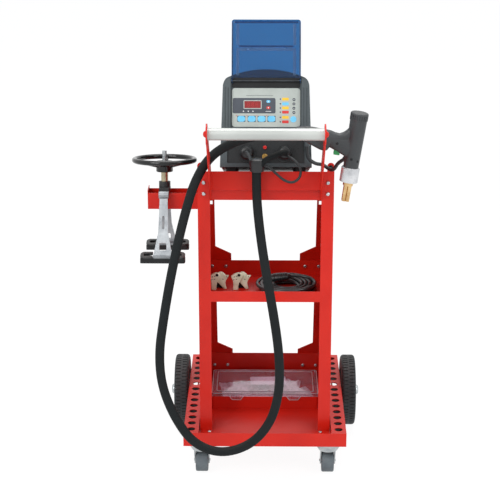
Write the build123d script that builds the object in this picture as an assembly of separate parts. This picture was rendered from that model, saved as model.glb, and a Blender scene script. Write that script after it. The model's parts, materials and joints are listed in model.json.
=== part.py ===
from build123d import *
from math import atan2, cos, pi, radians, sin, sqrt, tan
import os

# Dent pulling spot welder on a workshop trolley. Millimetres, +Z up, front faces -Y.
# The origin is on the floor, under the middle of the trolley, in its plane of symmetry.

# Trolley base
base_width = 520.0
base_depth = 650.0
base_front = -320.0
skirt_bottom = 122.0
floor_height = 150.0
ledge_rise = 18.0
ledge_height = floor_height + ledge_rise
sheet = 2.0
rail_width = 48.0
tool_hole = 26.0
tool_hole_pitch = 45.0
tool_hole_first = 31.0
tool_hole_count = 14
drain_hole_index = 8

# Side panels, shelf and platform
frame_half_width = 208.0
post_front = -266.0
post_flange = 38.0
post_top = 1036.0
rear_flange = 45.0
rear_foot_y = 170.0
rear_top_y = -126.0
rear_line_top = 960.0
gusset_width = 96.0
gusset_full = 126.0
gusset_end = 154.0
shelf_floor = 596.0
shelf_lip = 33.0
shelf_back_lip = 50.0
back_panel_top = 259.0
platform_tilt = 18.0
platform_front_height = 1016.0
platform_depth = 300.0
platform_lip = 57.0
platform_side_lip = 120.0
platform_band = 30.0
platform_return = 22.0
slot_width = 12.0
slot_height = 15.0
foot_tab = 20.0
post_ear_width = 22.0
post_ear = 28.0

# Handle and its two brackets
handle_tube_diameter = 35.0
handle_height = 1194.0
handle_reach = 250.0
bracket_thickness = 4.0
bracket_width = 44.0
bracket_end = 60.0
bolt_low = 946.0
bolt_high = 981.0
bolt_diameter = 6.0
bolt_head = 12.0

# Wheels and casters
rear_wheel_diameter = 242.0
rear_wheel_width = 48.0
rear_axle_y = 132.0
axle_diameter = 20.0
rim_diameter = 170.0
caster_wheel_diameter = 75.0
caster_wheel_width = 40.0
caster_x = 204.0
caster_y = -272.0
caster_trail = 27.0
caster_plate = 76.0
running_clearance = 0.05

out_dir = "parts"
os.makedirs(out_dir, exist_ok=True)
nodes = {}


def block(x0, x1, y0, y1, z0, z1):
    """Box between two corners."""
    size = Box(x1 - x0, y1 - y0, z1 - z0)
    return Pos((x0 + x1) / 2, (y0 + y1) / 2, (z0 + z1) / 2) * size


def rod(start, end, radius):
    """Solid cylinder from one point to another."""
    line = Vector(*end) - Vector(*start)
    return extrude(Plane(Vector(*start), z_dir=line) * Circle(radius), line.length)


def tube(start, end, radius, bore):
    """Hollow cylinder from one point to another."""
    return rod(start, end, radius) - rod(start, end, bore)


def side_plate(points, x0, x1):
    """Flat plate parallel to the YZ plane, from an outline of (y, z) points."""
    outline = make_face(Polyline(*points, close=True))
    return extrude(Plane((x0, 0, 0), x_dir=(0, 1, 0), z_dir=(1, 0, 0)) * outline, x1 - x0)


def mirror_x(shape):
    """The same piece, or list of pieces, on the other side of the trolley."""
    if isinstance(shape, list):
        return [mirror_x(piece) for piece in shape]
    return mirror(shape, about=Plane.YZ)


# Base tray: flat floor with a tall lip at the front, a short one at the back and skirts at the sides
base_back = base_front + base_depth
half_base = base_width / 2
tool_hole_x = half_base - rail_width / 2
tool_hole_ys = [base_front + tool_hole_first + i * tool_hole_pitch for i in range(tool_hole_count)]
drain_view_shift = 39.0
axle_skirt_gap = 1.0


def base_tray():
    floor = block(-half_base, half_base, base_front, base_back, floor_height - sheet, floor_height)
    front = block(-half_base, half_base, base_front, base_front + sheet, skirt_bottom, ledge_height)
    back = block(-half_base, half_base, base_back - sheet, base_back, skirt_bottom, ledge_height)
    skirt = block(half_base - sheet, half_base, base_front, base_back, skirt_bottom, floor_height)
    tray = floor + front + back + skirt + mirror_x(skirt)
    drain_y = tool_hole_ys[drain_hole_index] + drain_view_shift
    for side in (-1, 1):
        tray -= rod((side * tool_hole_x, drain_y, skirt_bottom), (side * tool_hole_x, drain_y,
                                                                  ledge_height),
                    tool_hole / 2)
    axle_z = rear_wheel_diameter / 2
    return tray - rod((-half_base - 1, rear_axle_y, axle_z), (half_base + 1, rear_axle_y, axle_z),
                      axle_diameter / 2 + axle_skirt_gap)


def tool_rail():
    """Raised ledge on the right, with a row of round holes for tools."""
    inner = half_base - rail_width
    y0 = base_front + sheet
    y1 = base_back - sheet
    rail = block(inner, half_base, y0, y1, ledge_height - sheet, ledge_height)
    rail += block(inner, inner + sheet, y0, y1, floor_height, ledge_height)
    rail += block(half_base - sheet, half_base, y0, y1, floor_height, ledge_height)
    for y in tool_hole_ys:
        rail -= rod((tool_hole_x, y, floor_height + sheet), (tool_hole_x, y, ledge_height + sheet),
                    tool_hole / 2)
    return rail


nodes["base_tray"] = base_tray()
nodes["right_tool_rail"] = tool_rail()
nodes["left_tool_rail"] = mirror_x(tool_rail())

# Side panels: folded sheet with a narrow front flange, a tapering web and a slanted rear flange
rear_slope = (rear_foot_y - rear_top_y) / (rear_line_top - floor_height)


def rear_edge(height):
    """Y of the panel's slanted rear edge at a height."""
    return rear_top_y + (rear_line_top - height) * rear_slope


tilt = radians(platform_tilt)
deck_front = post_front + sheet
deck = Pos(0, deck_front, platform_front_height) * Rot(-platform_tilt, 0, 0)
web_corner = 30.0
slot_drop = 93.0


def side_panel():
    """Right-hand side panel."""
    outer = frame_half_width
    web_back_top = post_top - (rear_top_y - post_front) * tan(tilt)
    web = side_plate([
        (post_front, floor_height),
        (post_front, post_top),
        (rear_top_y - web_corner, web_back_top + web_corner * tan(tilt)),
        (rear_top_y, web_back_top - web_corner),
        (rear_top_y, rear_line_top),
        (rear_foot_y, floor_height),
    ], outer - sheet, outer)
    front = block(outer - post_flange, outer, post_front, post_front + sheet, floor_height,
                  platform_front_height)
    ear_round = post_ear_width / 2
    ear_top = platform_front_height + post_ear
    front += block(outer - post_ear_width, outer, post_front, post_front + sheet,
                   platform_front_height, ear_top - ear_round)
    front += rod((outer - ear_round, post_front, ear_top - ear_round),
                 (outer - ear_round, post_front + sheet, ear_top - ear_round), ear_round)
    slant = atan2(rear_foot_y - rear_top_y, rear_line_top - floor_height)
    scale = 1 / cos(slant)
    face = Plane((outer, rear_foot_y, floor_height), x_dir=(-1, 0, 0), z_dir=(0, cos(slant), sin(slant)))
    mid = shelf_floor - floor_height
    outline = [
        (0, 0),
        (gusset_width, 0),
        (gusset_width, gusset_full * scale),
        (rear_flange, gusset_end * scale),
        (rear_flange, mid * scale),
        (gusset_width, mid * scale),
        (gusset_width, (mid + gusset_full - shelf_back_lip) * scale),
        (rear_flange, (mid + gusset_end - shelf_back_lip) * scale),
        (rear_flange, (rear_line_top - floor_height) * scale),
        (0, (rear_line_top - floor_height) * scale),
    ]
    flange_face = make_face(Polyline(*outline, close=True))
    slot_v = (rear_line_top - slot_drop - floor_height) * scale
    flange_face -= Pos(rear_flange - slot_width, slot_v) * Rectangle(slot_width, slot_height)
    flange = extrude(face * flange_face, -sheet)
    inner = outer - post_flange
    foot = block(inner, outer - sheet, post_front - foot_tab, post_front + foot_tab, floor_height,
                 floor_height + sheet)
    panel = web + front + flange + foot
    return panel - block(0, outer, post_front, rear_foot_y, floor_height - sheet, floor_height)


nodes["right_side_panel"] = side_panel()
nodes["left_side_panel"] = mirror_x(side_panel())

# Mid shelf: a level tray between the side panels
shelf_half = frame_half_width - sheet
shelf_front = post_front + sheet
flange_depth = 1.2 * sheet
shelf_back = rear_edge(shelf_floor + shelf_back_lip) - flange_depth


def mid_shelf():
    back = shelf_back
    floor = block(-shelf_half, shelf_half, shelf_front, back, shelf_floor - sheet, shelf_floor)
    lip_half = frame_half_width - post_flange
    lip = block(-lip_half, lip_half, shelf_front - sheet, shelf_front, shelf_floor - sheet,
                shelf_floor + shelf_lip)
    rear = block(-shelf_half, shelf_half, back - sheet, back, shelf_floor, shelf_floor + shelf_back_lip)
    return floor + lip + rear


nodes["mid_shelf"] = mid_shelf()

panel_back = rear_edge(back_panel_top) - flange_depth


def lower_back_panel():
    """Upright panel behind the organiser, standing on the base floor in front of the gussets."""
    return block(-shelf_half, shelf_half, panel_back - sheet, panel_back, floor_height, back_panel_top)


nodes["lower_back_panel"] = lower_back_panel()

# Top platform, tilted back, with a deep front lip folded under to a set-back band, and side lips
platform_half = frame_half_width - post_flange - bracket_thickness


def top_platform():
    top = block(-platform_half, platform_half, 0, platform_depth, -sheet, 0)
    lip = block(-platform_half, platform_half, 0, sheet, -platform_lip, 0)
    side = block(platform_half - sheet, platform_half, 0, platform_side_lip, -platform_lip, 0)
    fold = block(-platform_half, platform_half, 0, platform_return, -platform_lip, sheet - platform_lip)
    plate = deck * (top + lip + side + mirror_x(side) + fold)
    band_y = deck_front + platform_return * cos(tilt) - platform_lip * sin(tilt)
    band_top = platform_front_height - platform_return * sin(tilt) - platform_lip * cos(tilt)
    band = block(-platform_half, platform_half, band_y - sheet, band_y, band_top - platform_band,
                 band_top + sheet / 2)
    return plate + band


nodes["top_platform"] = top_platform()

# Handle: a tube between two flat brackets that reach forward and up from the posts
handle_y = post_front - handle_reach
bracket_outer = frame_half_width - post_flange
bracket_inner = bracket_outer - bracket_thickness
bracket_foot_low = bolt_low - 20.0
bracket_foot_high = bolt_high + 20.0


bracket_rise = atan2(handle_height - (bolt_low + bolt_high) / 2, handle_reach)
end_dy = bracket_width / 2 * sin(bracket_rise)
end_dz = bracket_width / 2 * cos(bracket_rise)
edge_foot = bracket_foot_high + bracket_width / 2
edge_slope = (handle_height + end_dz - edge_foot) / (post_front - handle_y - end_dy)


def handle_bracket():
    """Right-hand bracket."""
    arm = side_plate([
        (post_front, bracket_foot_low),
        (post_front, edge_foot),
        (handle_y + end_dy, handle_height + end_dz),
        (handle_y - end_dy, handle_height - end_dz),
    ], bracket_inner, bracket_outer)
    arm += rod((bracket_inner, handle_y, handle_height), (bracket_outer, handle_y, handle_height),
               bracket_end / 2)
    arm += block(bracket_inner, bracket_outer, post_front, post_front + 30.0, bracket_foot_low,
                 bracket_foot_high)
    tab_x = frame_half_width - 2 * sheet
    arm += block(bracket_inner, tab_x, post_front + sheet, post_front + sheet + bracket_thickness,
                 bracket_foot_low, bracket_foot_high)
    return arm


nodes["right_handle_bracket"] = handle_bracket()
nodes["left_handle_bracket"] = mirror_x(handle_bracket())
nodes["handle_tube"] = tube((-bracket_inner, handle_y, handle_height), (bracket_inner, handle_y,
                                                                        handle_height),
                            handle_tube_diameter / 2, handle_tube_diameter / 2 - 2.0)

# Underframe: a channel for the casters and two lugs for the rear axle, under the base floor
channel_front = caster_y - caster_plate / 2
channel_back = caster_y + caster_plate / 2
channel_half = half_base - 2 * sheet
lug_x = half_base - 30.0
lug_thickness = 4.0
lug_half = 30.0
axle_height = rear_wheel_diameter / 2
lug_bottom = axle_height - 22.0
under_floor = floor_height - sheet


def caster_channel():
    base = block(-channel_half, channel_half, channel_front, channel_back, skirt_bottom,
                 skirt_bottom + sheet)
    wall = block(-channel_half, channel_half, channel_front, channel_front + sheet, skirt_bottom,
                 under_floor)
    other = block(-channel_half, channel_half, channel_back - sheet, channel_back, skirt_bottom,
                  under_floor)
    return base + wall + other


def axle_lug():
    lug = block(lug_x, lug_x + lug_thickness, rear_axle_y - lug_half, rear_axle_y + lug_half,
                lug_bottom, under_floor)
    return lug - rod((lug_x - 1, rear_axle_y, axle_height), (lug_x + lug_thickness + 1, rear_axle_y,
                                                             axle_height),
                     axle_diameter / 2)


nodes["underframe_channels"] = [caster_channel(), axle_lug(), mirror_x(axle_lug())]

# Rear wheels: moulded rims with treaded tyres on a fixed axle, closed by domed caps
wheel_inner = half_base + 2.5
wheel_outer = wheel_inner + rear_wheel_width
wheel_middle = (wheel_inner + wheel_outer) / 2
cap_gap = 1.0
cap_length = 13.0
cap_radius = 17.0
axle_end = wheel_outer + cap_gap + cap_length / 2
tread_count = 60
tread_depth = 3.0
tread_gap = 3.4
tyre_corner = 10.0
hub_radius = 24.0
rim_wall = 8.0
rim_hole = 17.0
rim_hole_count = 6


def on_wheel_axis(profile):
    """Revolve a (radius, x) profile about the rear axle."""
    plane = Plane((0, rear_axle_y, axle_height), x_dir=(0, 0, 1), z_dir=(0, 1, 0))
    axis = Axis((0, rear_axle_y, axle_height), (1, 0, 0))
    return revolve(plane * profile, axis)


def tyre():
    """Right tyre: rounded section with cross grooves in two staggered rows."""
    outer = rear_wheel_diameter / 2
    inner = rim_diameter / 2
    section = Pos((outer + inner) / 2, wheel_middle) * RectangleRounded(outer - inner,
                                                                        rear_wheel_width, tyre_corner)
    inner_lip = Pos(inner + tyre_corner / 2, wheel_middle) * Rectangle(tyre_corner, rear_wheel_width)
    ring = on_wheel_axis(section + inner_lip)
    grooves = []
    for side in (-1, 1):
        for i in range(tread_count):
            angle = 360 / tread_count * (i + side / 4)
            groove = Box(rear_wheel_width * 0.42, tread_gap, 2 * tread_depth)
            placed = Rot(angle, 0, 0) * Pos(side * rear_wheel_width * 0.27, 0, outer) * groove
            grooves.append(Pos(wheel_middle, rear_axle_y, axle_height) * placed)
    return ring - grooves


def rim():
    """Right rim: hub, dished web with round holes, and outer band."""
    bore = axle_diameter / 2 + running_clearance
    band_outer = rim_diameter / 2
    web_x = wheel_middle + 6.0
    band = Pos(band_outer - rim_wall / 2, wheel_middle) * Rectangle(rim_wall, rear_wheel_width)
    hub = Pos((bore + hub_radius) / 2, wheel_middle) * Rectangle(hub_radius - bore, rear_wheel_width)
    web = Pos((bore + band_outer) / 2, web_x) * Rectangle(band_outer - bore, rim_wall)
    wheel = on_wheel_axis(band + hub + web)
    ring = (hub_radius + band_outer - rim_wall) / 2
    for i in range(rim_hole_count):
        turn = radians(360 / rim_hole_count * i)
        y = rear_axle_y + ring * cos(turn)
        z = axle_height + ring * sin(turn)
        wheel -= rod((wheel_inner, y, z), (wheel_outer, y, z), rim_hole)
    return wheel


def axle_cap():
    """Domed cap pushed on the axle's right end."""
    start = wheel_outer + cap_gap
    cap = rod((start, rear_axle_y, axle_height), (start + cap_length, rear_axle_y, axle_height),
              cap_radius)
    rim_edge = cap.faces().sort_by(Axis.X)[-1].edges()
    cap = fillet(rim_edge, cap_length * 0.6)
    return cap - rod((start - 1, rear_axle_y, axle_height), (axle_end, rear_axle_y, axle_height),
                     axle_diameter / 2)


nodes["right_tyre"] = tyre()
nodes["left_tyre"] = mirror_x(tyre())
nodes["right_rim"] = rim()
nodes["left_rim"] = mirror_x(rim())
axle = rod((-axle_end, rear_axle_y, axle_height), (axle_end, rear_axle_y, axle_height), axle_diameter / 2)
nodes["rear_axle"] = [axle, axle_cap(), mirror_x(axle_cap())]

# Casters: plate with a riveted kingpin, swivelling fork with its axle, and a solid wheel
caster_axle_y = caster_y + caster_trail
caster_axle_z = caster_wheel_diameter / 2
plate_thickness = 3.0
plate_bottom = skirt_bottom - plate_thickness
swivel_gap = 0.3
fork_top = plate_bottom - swivel_gap
crown_radius = 38.0
crown_straight = 14.0
crown_foot_radius = 32.0
crown_bottom = 94.0
kingpin_radius = 6.0
kingpin_head_radius = 11.0
kingpin_head = 5.0
kingpin_room = 8.0
leg_thickness = 3.0
leg_gap = 1.5
leg_half = 15.0
caster_axle_radius = 4.0
caster_corner = 5.0


def caster_plate_piece(x):
    half = caster_plate / 2
    plate = block(x - half, x + half, caster_y - half, caster_y + half, plate_bottom, skirt_bottom)
    head_top = crown_bottom + kingpin_room
    pin = rod((x, caster_y, head_top - kingpin_head), (x, caster_y, plate_bottom), kingpin_radius)
    head = rod((x, caster_y, head_top - kingpin_head), (x, caster_y, head_top - swivel_gap),
               kingpin_head_radius)
    return plate + pin + head


def caster_fork(x):
    bore = kingpin_radius + running_clearance
    head_room = kingpin_head_radius + 1.0
    crown = Polyline((bore, fork_top), (crown_radius, fork_top), (crown_radius,
                                                                  fork_top - crown_straight),
                     (crown_foot_radius, crown_bottom), (head_room, crown_bottom),
                     (head_room, crown_bottom + kingpin_room), (bore,
                                                                crown_bottom + kingpin_room), close=True)
    fork = revolve(Plane.XZ * make_face(crown), Axis.Z)
    fork = Pos(x, caster_y, 0) * fork
    inner = caster_wheel_width / 2 + leg_gap
    outline = [
        (caster_y - leg_half, crown_bottom + 1.0),
        (caster_y + leg_half, crown_bottom + 1.0),
        (caster_axle_y + leg_half * 0.8, caster_axle_z),
        (caster_axle_y - leg_half * 0.8, caster_axle_z),
    ]
    for side in (-1, 1):
        x0 = x + side * inner
        x1 = x + side * (inner + leg_thickness)
        fork += side_plate(outline, min(x0, x1), max(x0, x1))
        fork += rod((x0, caster_axle_y, caster_axle_z), (x1, caster_axle_y, caster_axle_z),
                    leg_half * 0.8)
    reach = inner + leg_thickness + 2.0
    axle = rod((x - reach, caster_axle_y, caster_axle_z), (x + reach, caster_axle_y, caster_axle_z),
               caster_axle_radius)
    return [fork - axle, axle]


def caster_wheel(x):
    bore = caster_axle_radius + running_clearance
    outer = caster_wheel_diameter / 2
    section = Pos(outer / 2, 0) * RectangleRounded(outer, caster_wheel_width, caster_corner)
    core = Pos(outer / 4, 0) * Rectangle(outer / 2, caster_wheel_width)
    plane = Plane((x, caster_axle_y, caster_axle_z), x_dir=(0, 0, 1), z_dir=(0, 1, 0))
    wheel = revolve(plane * (section + core), Axis((x, caster_axle_y, caster_axle_z), (1, 0, 0)))
    reach = caster_wheel_width
    return wheel - rod((x - reach, caster_axle_y, caster_axle_z),
                       (x + reach, caster_axle_y, caster_axle_z), bore)


nodes["caster_plates"] = [caster_plate_piece(caster_x), caster_plate_piece(-caster_x)]
nodes["right_caster_fork"] = caster_fork(caster_x)
nodes["left_caster_fork"] = caster_fork(-caster_x)
nodes["right_caster_wheel"] = caster_wheel(caster_x)
nodes["left_caster_wheel"] = caster_wheel(-caster_x)

# Puller arm: an open-topped channel that stands out from the left web
arm_end = -369.0
arm_front = -165.0
arm_back = -109.0
arm_low = 866.0
arm_high = 918.0
puller_x = -317.0
puller_lean = 8.0
puller_y = (arm_front + arm_back) / 2
spindle_radius = 7.0
slot_half = 11.0


def puller_arm():
    outer = block(arm_end, -frame_half_width, arm_front, arm_back, arm_low, arm_high)
    inner = block(arm_end, -frame_half_width - sheet, arm_front + sheet, arm_back - sheet,
                  arm_low + sheet, arm_high)
    hole = block(puller_x - slot_half, puller_x + slot_half, arm_front + 4 * sheet, arm_back - 4 * sheet,
                 arm_low - 1, arm_low + 2 * sheet)
    stop = block(arm_end, arm_end + sheet, arm_front, arm_back, arm_low, arm_high + 10.0)
    return outer - inner - hole + stop


nodes["puller_arm"] = puller_arm()

# Dent puller: it straddles the arm and leans back a little
puller = Pos(puller_x, puller_y, arm_high) * Rot(-puller_lean, 0, 0)
head_half_x = 15.0
head_reach = 46.0
head_low = -12.0
head_high = 30.0
sleeve_radius = 11.0
sleeve_high = 60.0
wheel_radius = 102.0
grip_radius = 10.5
hub_high = 97.0
spoke_count = 3
spoke_inner = 17.0
spoke_drop = 8.0
spoke_width = 14.0
spoke_thickness = 8.0
spindle_low = -42.0
spindle_high = 126.0
puller_turns = 10.0
foot_reach = 115.0
foot_low = -193.0
leg_top = -6.0
leg_depth = 12.0
leg_top_half = 12.0
leg_foot_half = 30.0
window_half = 11.0
window_low = 22.0
window_high = 46.0
foot_bar_length = 138.0
foot_bar_width = 42.0
foot_bar_height = 14.0
foot_ring = 12.0


def puller_head():
    """Black coupling: a bridge over the channel's two walls, with a collar for the sleeve."""
    bridge = block(-head_half_x, head_half_x, -head_reach, head_reach, head_low, head_high * 0.45)
    collar = rod((0, 0, 0), (0, 0, head_high), head_half_x + 3.0)
    bore = rod((0, 0, head_low - 1), (0, 0, head_high + 1), spindle_radius + running_clearance)
    seat = block(arm_end, -frame_half_width, arm_front, arm_back, arm_low, arm_high)
    return puller * (bridge + collar - bore) - seat


def puller_handwheel():
    """Dished handwheel: round grip ring, three spokes and a flared hub that is the spindle's nut."""
    ring_path = wheel_radius - grip_radius
    ring = Pos(0, 0, hub_high) * Torus(ring_path, grip_radius)
    bore = spindle_radius + running_clearance
    section = Polyline((bore, sleeve_high), (17.0, sleeve_high), (19.0, sleeve_high + 14.0),
                       (30.0, sleeve_high + 20.0),
                       (24.0, hub_high), (bore, hub_high), close=True)
    hub = revolve(Plane.XZ * make_face(section), Axis.Z)
    wheel = ring + hub
    spoke_middle = (spoke_inner + ring_path) / 2
    spoke = Pos(spoke_middle, 0, hub_high - spoke_drop) * Rot(0, -puller_lean, 0)
    spoke *= Box(ring_path - spoke_inner, spoke_width, spoke_thickness)
    for i in range(spoke_count):
        wheel += Rot(0, 0, 360 / spoke_count * i + 90) * spoke
    return puller * (wheel - rod((0, 0, sleeve_high - 1), (0, 0, spindle_high), bore))


def puller_leg(side):
    """Cast A-shaped leg, from the bridge's end down to the foot; side is -1 in front, 1 behind."""
    top = Vector(0, side * head_reach, leg_top)
    foot = Vector(0, side * foot_reach, foot_low)
    run = foot - top
    plane = Plane(top, x_dir=(1, 0, 0), z_dir=run.cross(Vector(1, 0, 0)))
    down = 1 if plane.y_dir.Z < 0 else -1
    length = run.length
    outline = [(-leg_top_half, 0), (leg_top_half, 0), (leg_foot_half * 0.5, length * 0.6),
               (leg_foot_half, length),
               (-leg_foot_half, length), (-leg_foot_half * 0.5, length * 0.6)]
    face = make_face(Polyline(*[(x, down * y) for x, y in outline], close=True))
    middle = length - (window_low + window_high) / 2
    face -= Pos(0, down * middle) * RectangleRounded(2 * window_half, window_high - window_low, 4.0)
    face -= Pos(0, down * length * 0.45) * SlotCenterToCenter(34.0, 8.0, rotation=90)
    leg = extrude(plane * face, leg_depth / 2, both=True)
    leg += rod((-head_half_x, side * (head_reach + leg_depth / 2), leg_top),
               (head_half_x, side * (head_reach + leg_depth / 2), leg_top), leg_depth)
    leg += block(-leg_foot_half, leg_foot_half, side * foot_reach - 14.0, side * foot_reach + 14.0,
                 foot_low - 1.0, foot_low + 8.0)
    bar_top = block(-100, 100, -200, 200, foot_low - 20.0, foot_low)
    head_room = block(-100, 100, -head_reach, head_reach, head_low - 20.0, head_high)
    return puller * (leg - bar_top - head_room)


def foot_bar(side):
    """Black foot bar with a ring at each end."""
    half = foot_bar_length / 2
    centre = side * foot_reach
    low = foot_low - foot_bar_height
    bar = Pos(0, centre) * RectangleRounded(foot_bar_length, foot_bar_width, 8.0)
    solid = Pos(0, 0, low) * extrude(bar, foot_bar_height)
    for end in (-1, 1):
        x = end * (half - foot_ring - 8.0)
        ring = tube((x, centre, foot_low), (x, centre, foot_low + 5.0), foot_ring + 5.0, foot_ring - 4.0)
        solid += ring
        solid -= rod((x, centre, foot_low - 3.0), (x, centre, foot_low + 6.0), foot_ring - 4.0)
    return puller * solid


nodes["puller_head"] = puller_head()
nodes["puller_sleeve"] = puller * tube((0, 0, head_high), (0, 0, sleeve_high - 0.3), sleeve_radius,
                                       spindle_radius + running_clearance)
nodes["puller_handwheel"] = puller_handwheel()
nodes["puller_spindle"] = puller * rod((0, 0, spindle_low), (0, 0, spindle_high), spindle_radius)
nodes["puller_front_leg"] = puller_leg(-1)
nodes["puller_rear_leg"] = puller_leg(1)
nodes["puller_feet"] = [foot_bar(-1), foot_bar(1)]

# Welder: sheet case with a moulded bezel, standing on the tilted platform; sizes are in the platform's frame
case_width = 280.0
case_top_width = 262.0
foot_height = 14.0
case_high = 286.0
bezel_front = 15.0
bezel_back = 62.0
case_back = 340.0
rear_plate = 8.0
case_wall = 2.0
case_corner = 26.0
case_crown = 30.0
crown_flange = 6.0
recess_width = 216.0
recess_depth = 12.0
recess_low = 118.0
panel_width = 208.0
panel_low = 137.0
panel_high = 255.0
panel_thickness = 1.5
window_x = -41.0
window_z = 205.0
window_width = 50.0
window_height = 21.0
plate_low = 26.0
plate_high = 108.0
plate_width = 236.0
plate_depth = 10.0
socket_x = 58.0
socket_z = 56.0
socket_radius = 27.0
socket_length = 9.0
lamp_x = -3.0
lamp_z = 74.0
signal_z = 46.0
cover_width = 211.0
cover_length = 190.0
cover_depth = 17.0
cover_bulge = 5.0
cover_sheet = 3.0
cover_lean = 3.0
hinge_y = 12.0
hinge_z = 276.0
pin_radius = 2.5
ear_radius = 6.0
cover_start = 13.0
cover_bevel = 5.0
cover_corner = 8.0


def case_outline(inset, crown=0.0):
    """Front outline of the welder: a trapezoid with rounded upper corners, its top flat or crowned."""
    low = case_width / 2 - inset
    high = case_top_width / 2 - inset
    corner = case_corner - inset
    top = case_high - inset
    sides = Polyline((-high, top), (-low, foot_height + inset), (low, foot_height + inset), (high, top))
    if crown:
        roof = ThreePointArc((high, top), (0, top + crown), (-high, top))
    else:
        roof = Line((high, top), (-high, top))
    face = make_face(sides + roof)
    return fillet(face.vertices().group_by(Axis.Y)[-1], corner)


def along_y(face, y0, y1):
    """Extrude an (x, z) outline from y0 back to y1."""
    return extrude(Plane((0, y0, 0), x_dir=(1, 0, 0), z_dir=(0, -1, 0)) * face, y0 - y1)


def welder_case():
    shell = along_y(case_outline(case_wall, case_crown), bezel_back, case_back)
    return deck * (shell - along_y(case_outline(2 * case_wall, case_crown), bezel_back - 1,
                                   case_back + 1))


def front_bezel():
    """Moulded front frame: ribbed cheeks, a recess for the panel and a pocket for the socket plate."""
    bezel = along_y(case_outline(0), bezel_front, bezel_back)
    bezel += along_y(case_outline(0, case_crown), bezel_back - crown_flange, bezel_back)
    floor_y = bezel_front + recess_depth
    half = recess_width / 2
    bezel -= block(-half, half, bezel_front - 1, floor_y, recess_low, case_high + 1)
    bezel -= block(-plate_width / 2, plate_width / 2, bezel_front - 1, bezel_front + plate_depth,
                   plate_low, plate_high)
    inner_half = half - 14.0
    bezel -= block(-inner_half, inner_half, floor_y + 6.0, bezel_back + 1, foot_height + 16.0,
                   case_high - 24.0)
    for side in (-1, 1):
        for i in range(2):
            x = side * (half + 7.0 + 9.0 * i)
            bezel -= block(x - 1.5, x + 1.5, bezel_front - 1, bezel_front + 2.0, recess_low,
                           case_high - 30.0)
    bezel -= rod((-half - 6.0, hinge_y + recess_depth / 2, hinge_z),
                 (half + 6.0, hinge_y + recess_depth / 2, hinge_z),
                 pin_radius)
    return deck * bezel


def control_panel():
    """Membrane panel with its keys sealed under one overlay, and a recess for the display."""
    y = bezel_front + recess_depth
    face = Pos(0, (panel_low + panel_high) / 2) * RectangleRounded(panel_width,
                                                                   panel_high - panel_low, 9.0)
    panel = along_y(face, y - panel_thickness, y)
    hole = block(window_x - window_width / 2, window_x + window_width / 2, y - 2 * panel_thickness, y,
                 window_z - window_height / 2, window_z + window_height / 2)
    return deck * (panel - hole)


def display_window():
    y = bezel_front + recess_depth
    return deck * block(window_x - window_width / 2, window_x + window_width / 2,
                        y - panel_thickness / 2, y,
                        window_z - window_height / 2, window_z + window_height / 2)


plate_face = bezel_front + plate_depth - 4.0


def socket_plate():
    """Black lower front that carries the two power sockets."""
    middle = (plate_low + plate_high) / 2
    face = Pos(0, middle) * RectangleRounded(plate_width, plate_high - plate_low, 3.0)
    return deck * along_y(face, plate_face, bezel_front + plate_depth)


def panel_sockets():
    rings = []
    for side in (-1, 1):
        x = side * socket_x
        rings.append(deck * tube((x, plate_face - socket_length, socket_z), (x, plate_face,
                                                                             socket_z), socket_radius,
                                 socket_radius - 5.0))
    return rings


def status_lamp():
    lens = rod((lamp_x, plate_face - 5.0, lamp_z), (lamp_x, plate_face, lamp_z), 6.0)
    return deck * fillet(lens.faces().sort_by(Axis.Y)[0].edges(), 3.0)


def signal_socket():
    body = rod((lamp_x, plate_face - 10.0, signal_z), (lamp_x, plate_face, signal_z), 8.5)
    return deck * (body - rod((lamp_x, plate_face - 11.0, signal_z), (lamp_x, plate_face - 3.0,
                                                                      signal_z), 5.5))


def blue_cover():
    """Clear flip-up cover, shown open: bowed sheet with bevelled sides that close over the panel."""
    half = cover_width / 2
    crease = cover_length * 0.58
    bow = [(0, cover_start), (cover_depth, cover_start), (cover_depth + cover_bulge, crease),
           (cover_depth, cover_length), (cover_depth * 0.35, cover_length)]
    solid = side_plate(bow, -half, half)
    hollow = [(-cover_sheet, cover_start - 1), (cover_depth - cover_sheet, cover_start - 1),
              (cover_depth + cover_bulge - cover_sheet, crease),
              (cover_depth - cover_sheet, cover_length - cover_sheet), (-cover_depth,
                                                                        cover_length - cover_sheet)]
    solid -= side_plate(hollow, -half + cover_sheet, half - cover_sheet)
    for side in (-1, 1):
        solid -= Pos(side * half, cover_depth + cover_bulge, 0) * Rot(0, 0, 45) * Box(cover_bevel,
                                                                                      cover_bevel,
                                                                                      3 * cover_length)
        outer = side * half
        inner = side * (half - cover_sheet)
        x0 = min(outer, inner)
        x1 = max(outer, inner)
        solid += block(x0, x1, -ear_radius, ear_radius, 0, cover_start + ear_radius)
        solid += rod((x0, 0, 0), (x1, 0, 0), ear_radius)
    solid -= rod((-half - 1, 0, 0), (half + 1, 0, 0), pin_radius + running_clearance)
    front = Pos(0, cover_length / 2) * RectangleRounded(cover_width, cover_length + 2 * cover_start,
                                                        cover_corner)
    solid &= along_y(Pos(0, -cover_start) * front, -cover_length, cover_length)
    return cover_place * solid


cover_hinge_y = hinge_y + recess_depth / 2
cover_place = deck * Pos(0, cover_hinge_y, hinge_z) * Rot(-cover_lean, 0, 0)
pin_half = recess_width / 2 + 6.0
nodes["welder_case"] = welder_case()
nodes["front_bezel"] = front_bezel()
nodes["control_panel"] = control_panel()
nodes["display_window"] = display_window()
nodes["socket_plate"] = socket_plate()
nodes["panel_sockets"] = panel_sockets()
nodes["status_lamp"] = status_lamp()
nodes["signal_socket"] = signal_socket()
nodes["blue_cover"] = blue_cover()
nodes["cover_hinge_pin"] = deck * rod((-pin_half, cover_hinge_y, hinge_z), (pin_half, cover_hinge_y,
                                                                            hinge_z),
                                      pin_radius)

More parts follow.
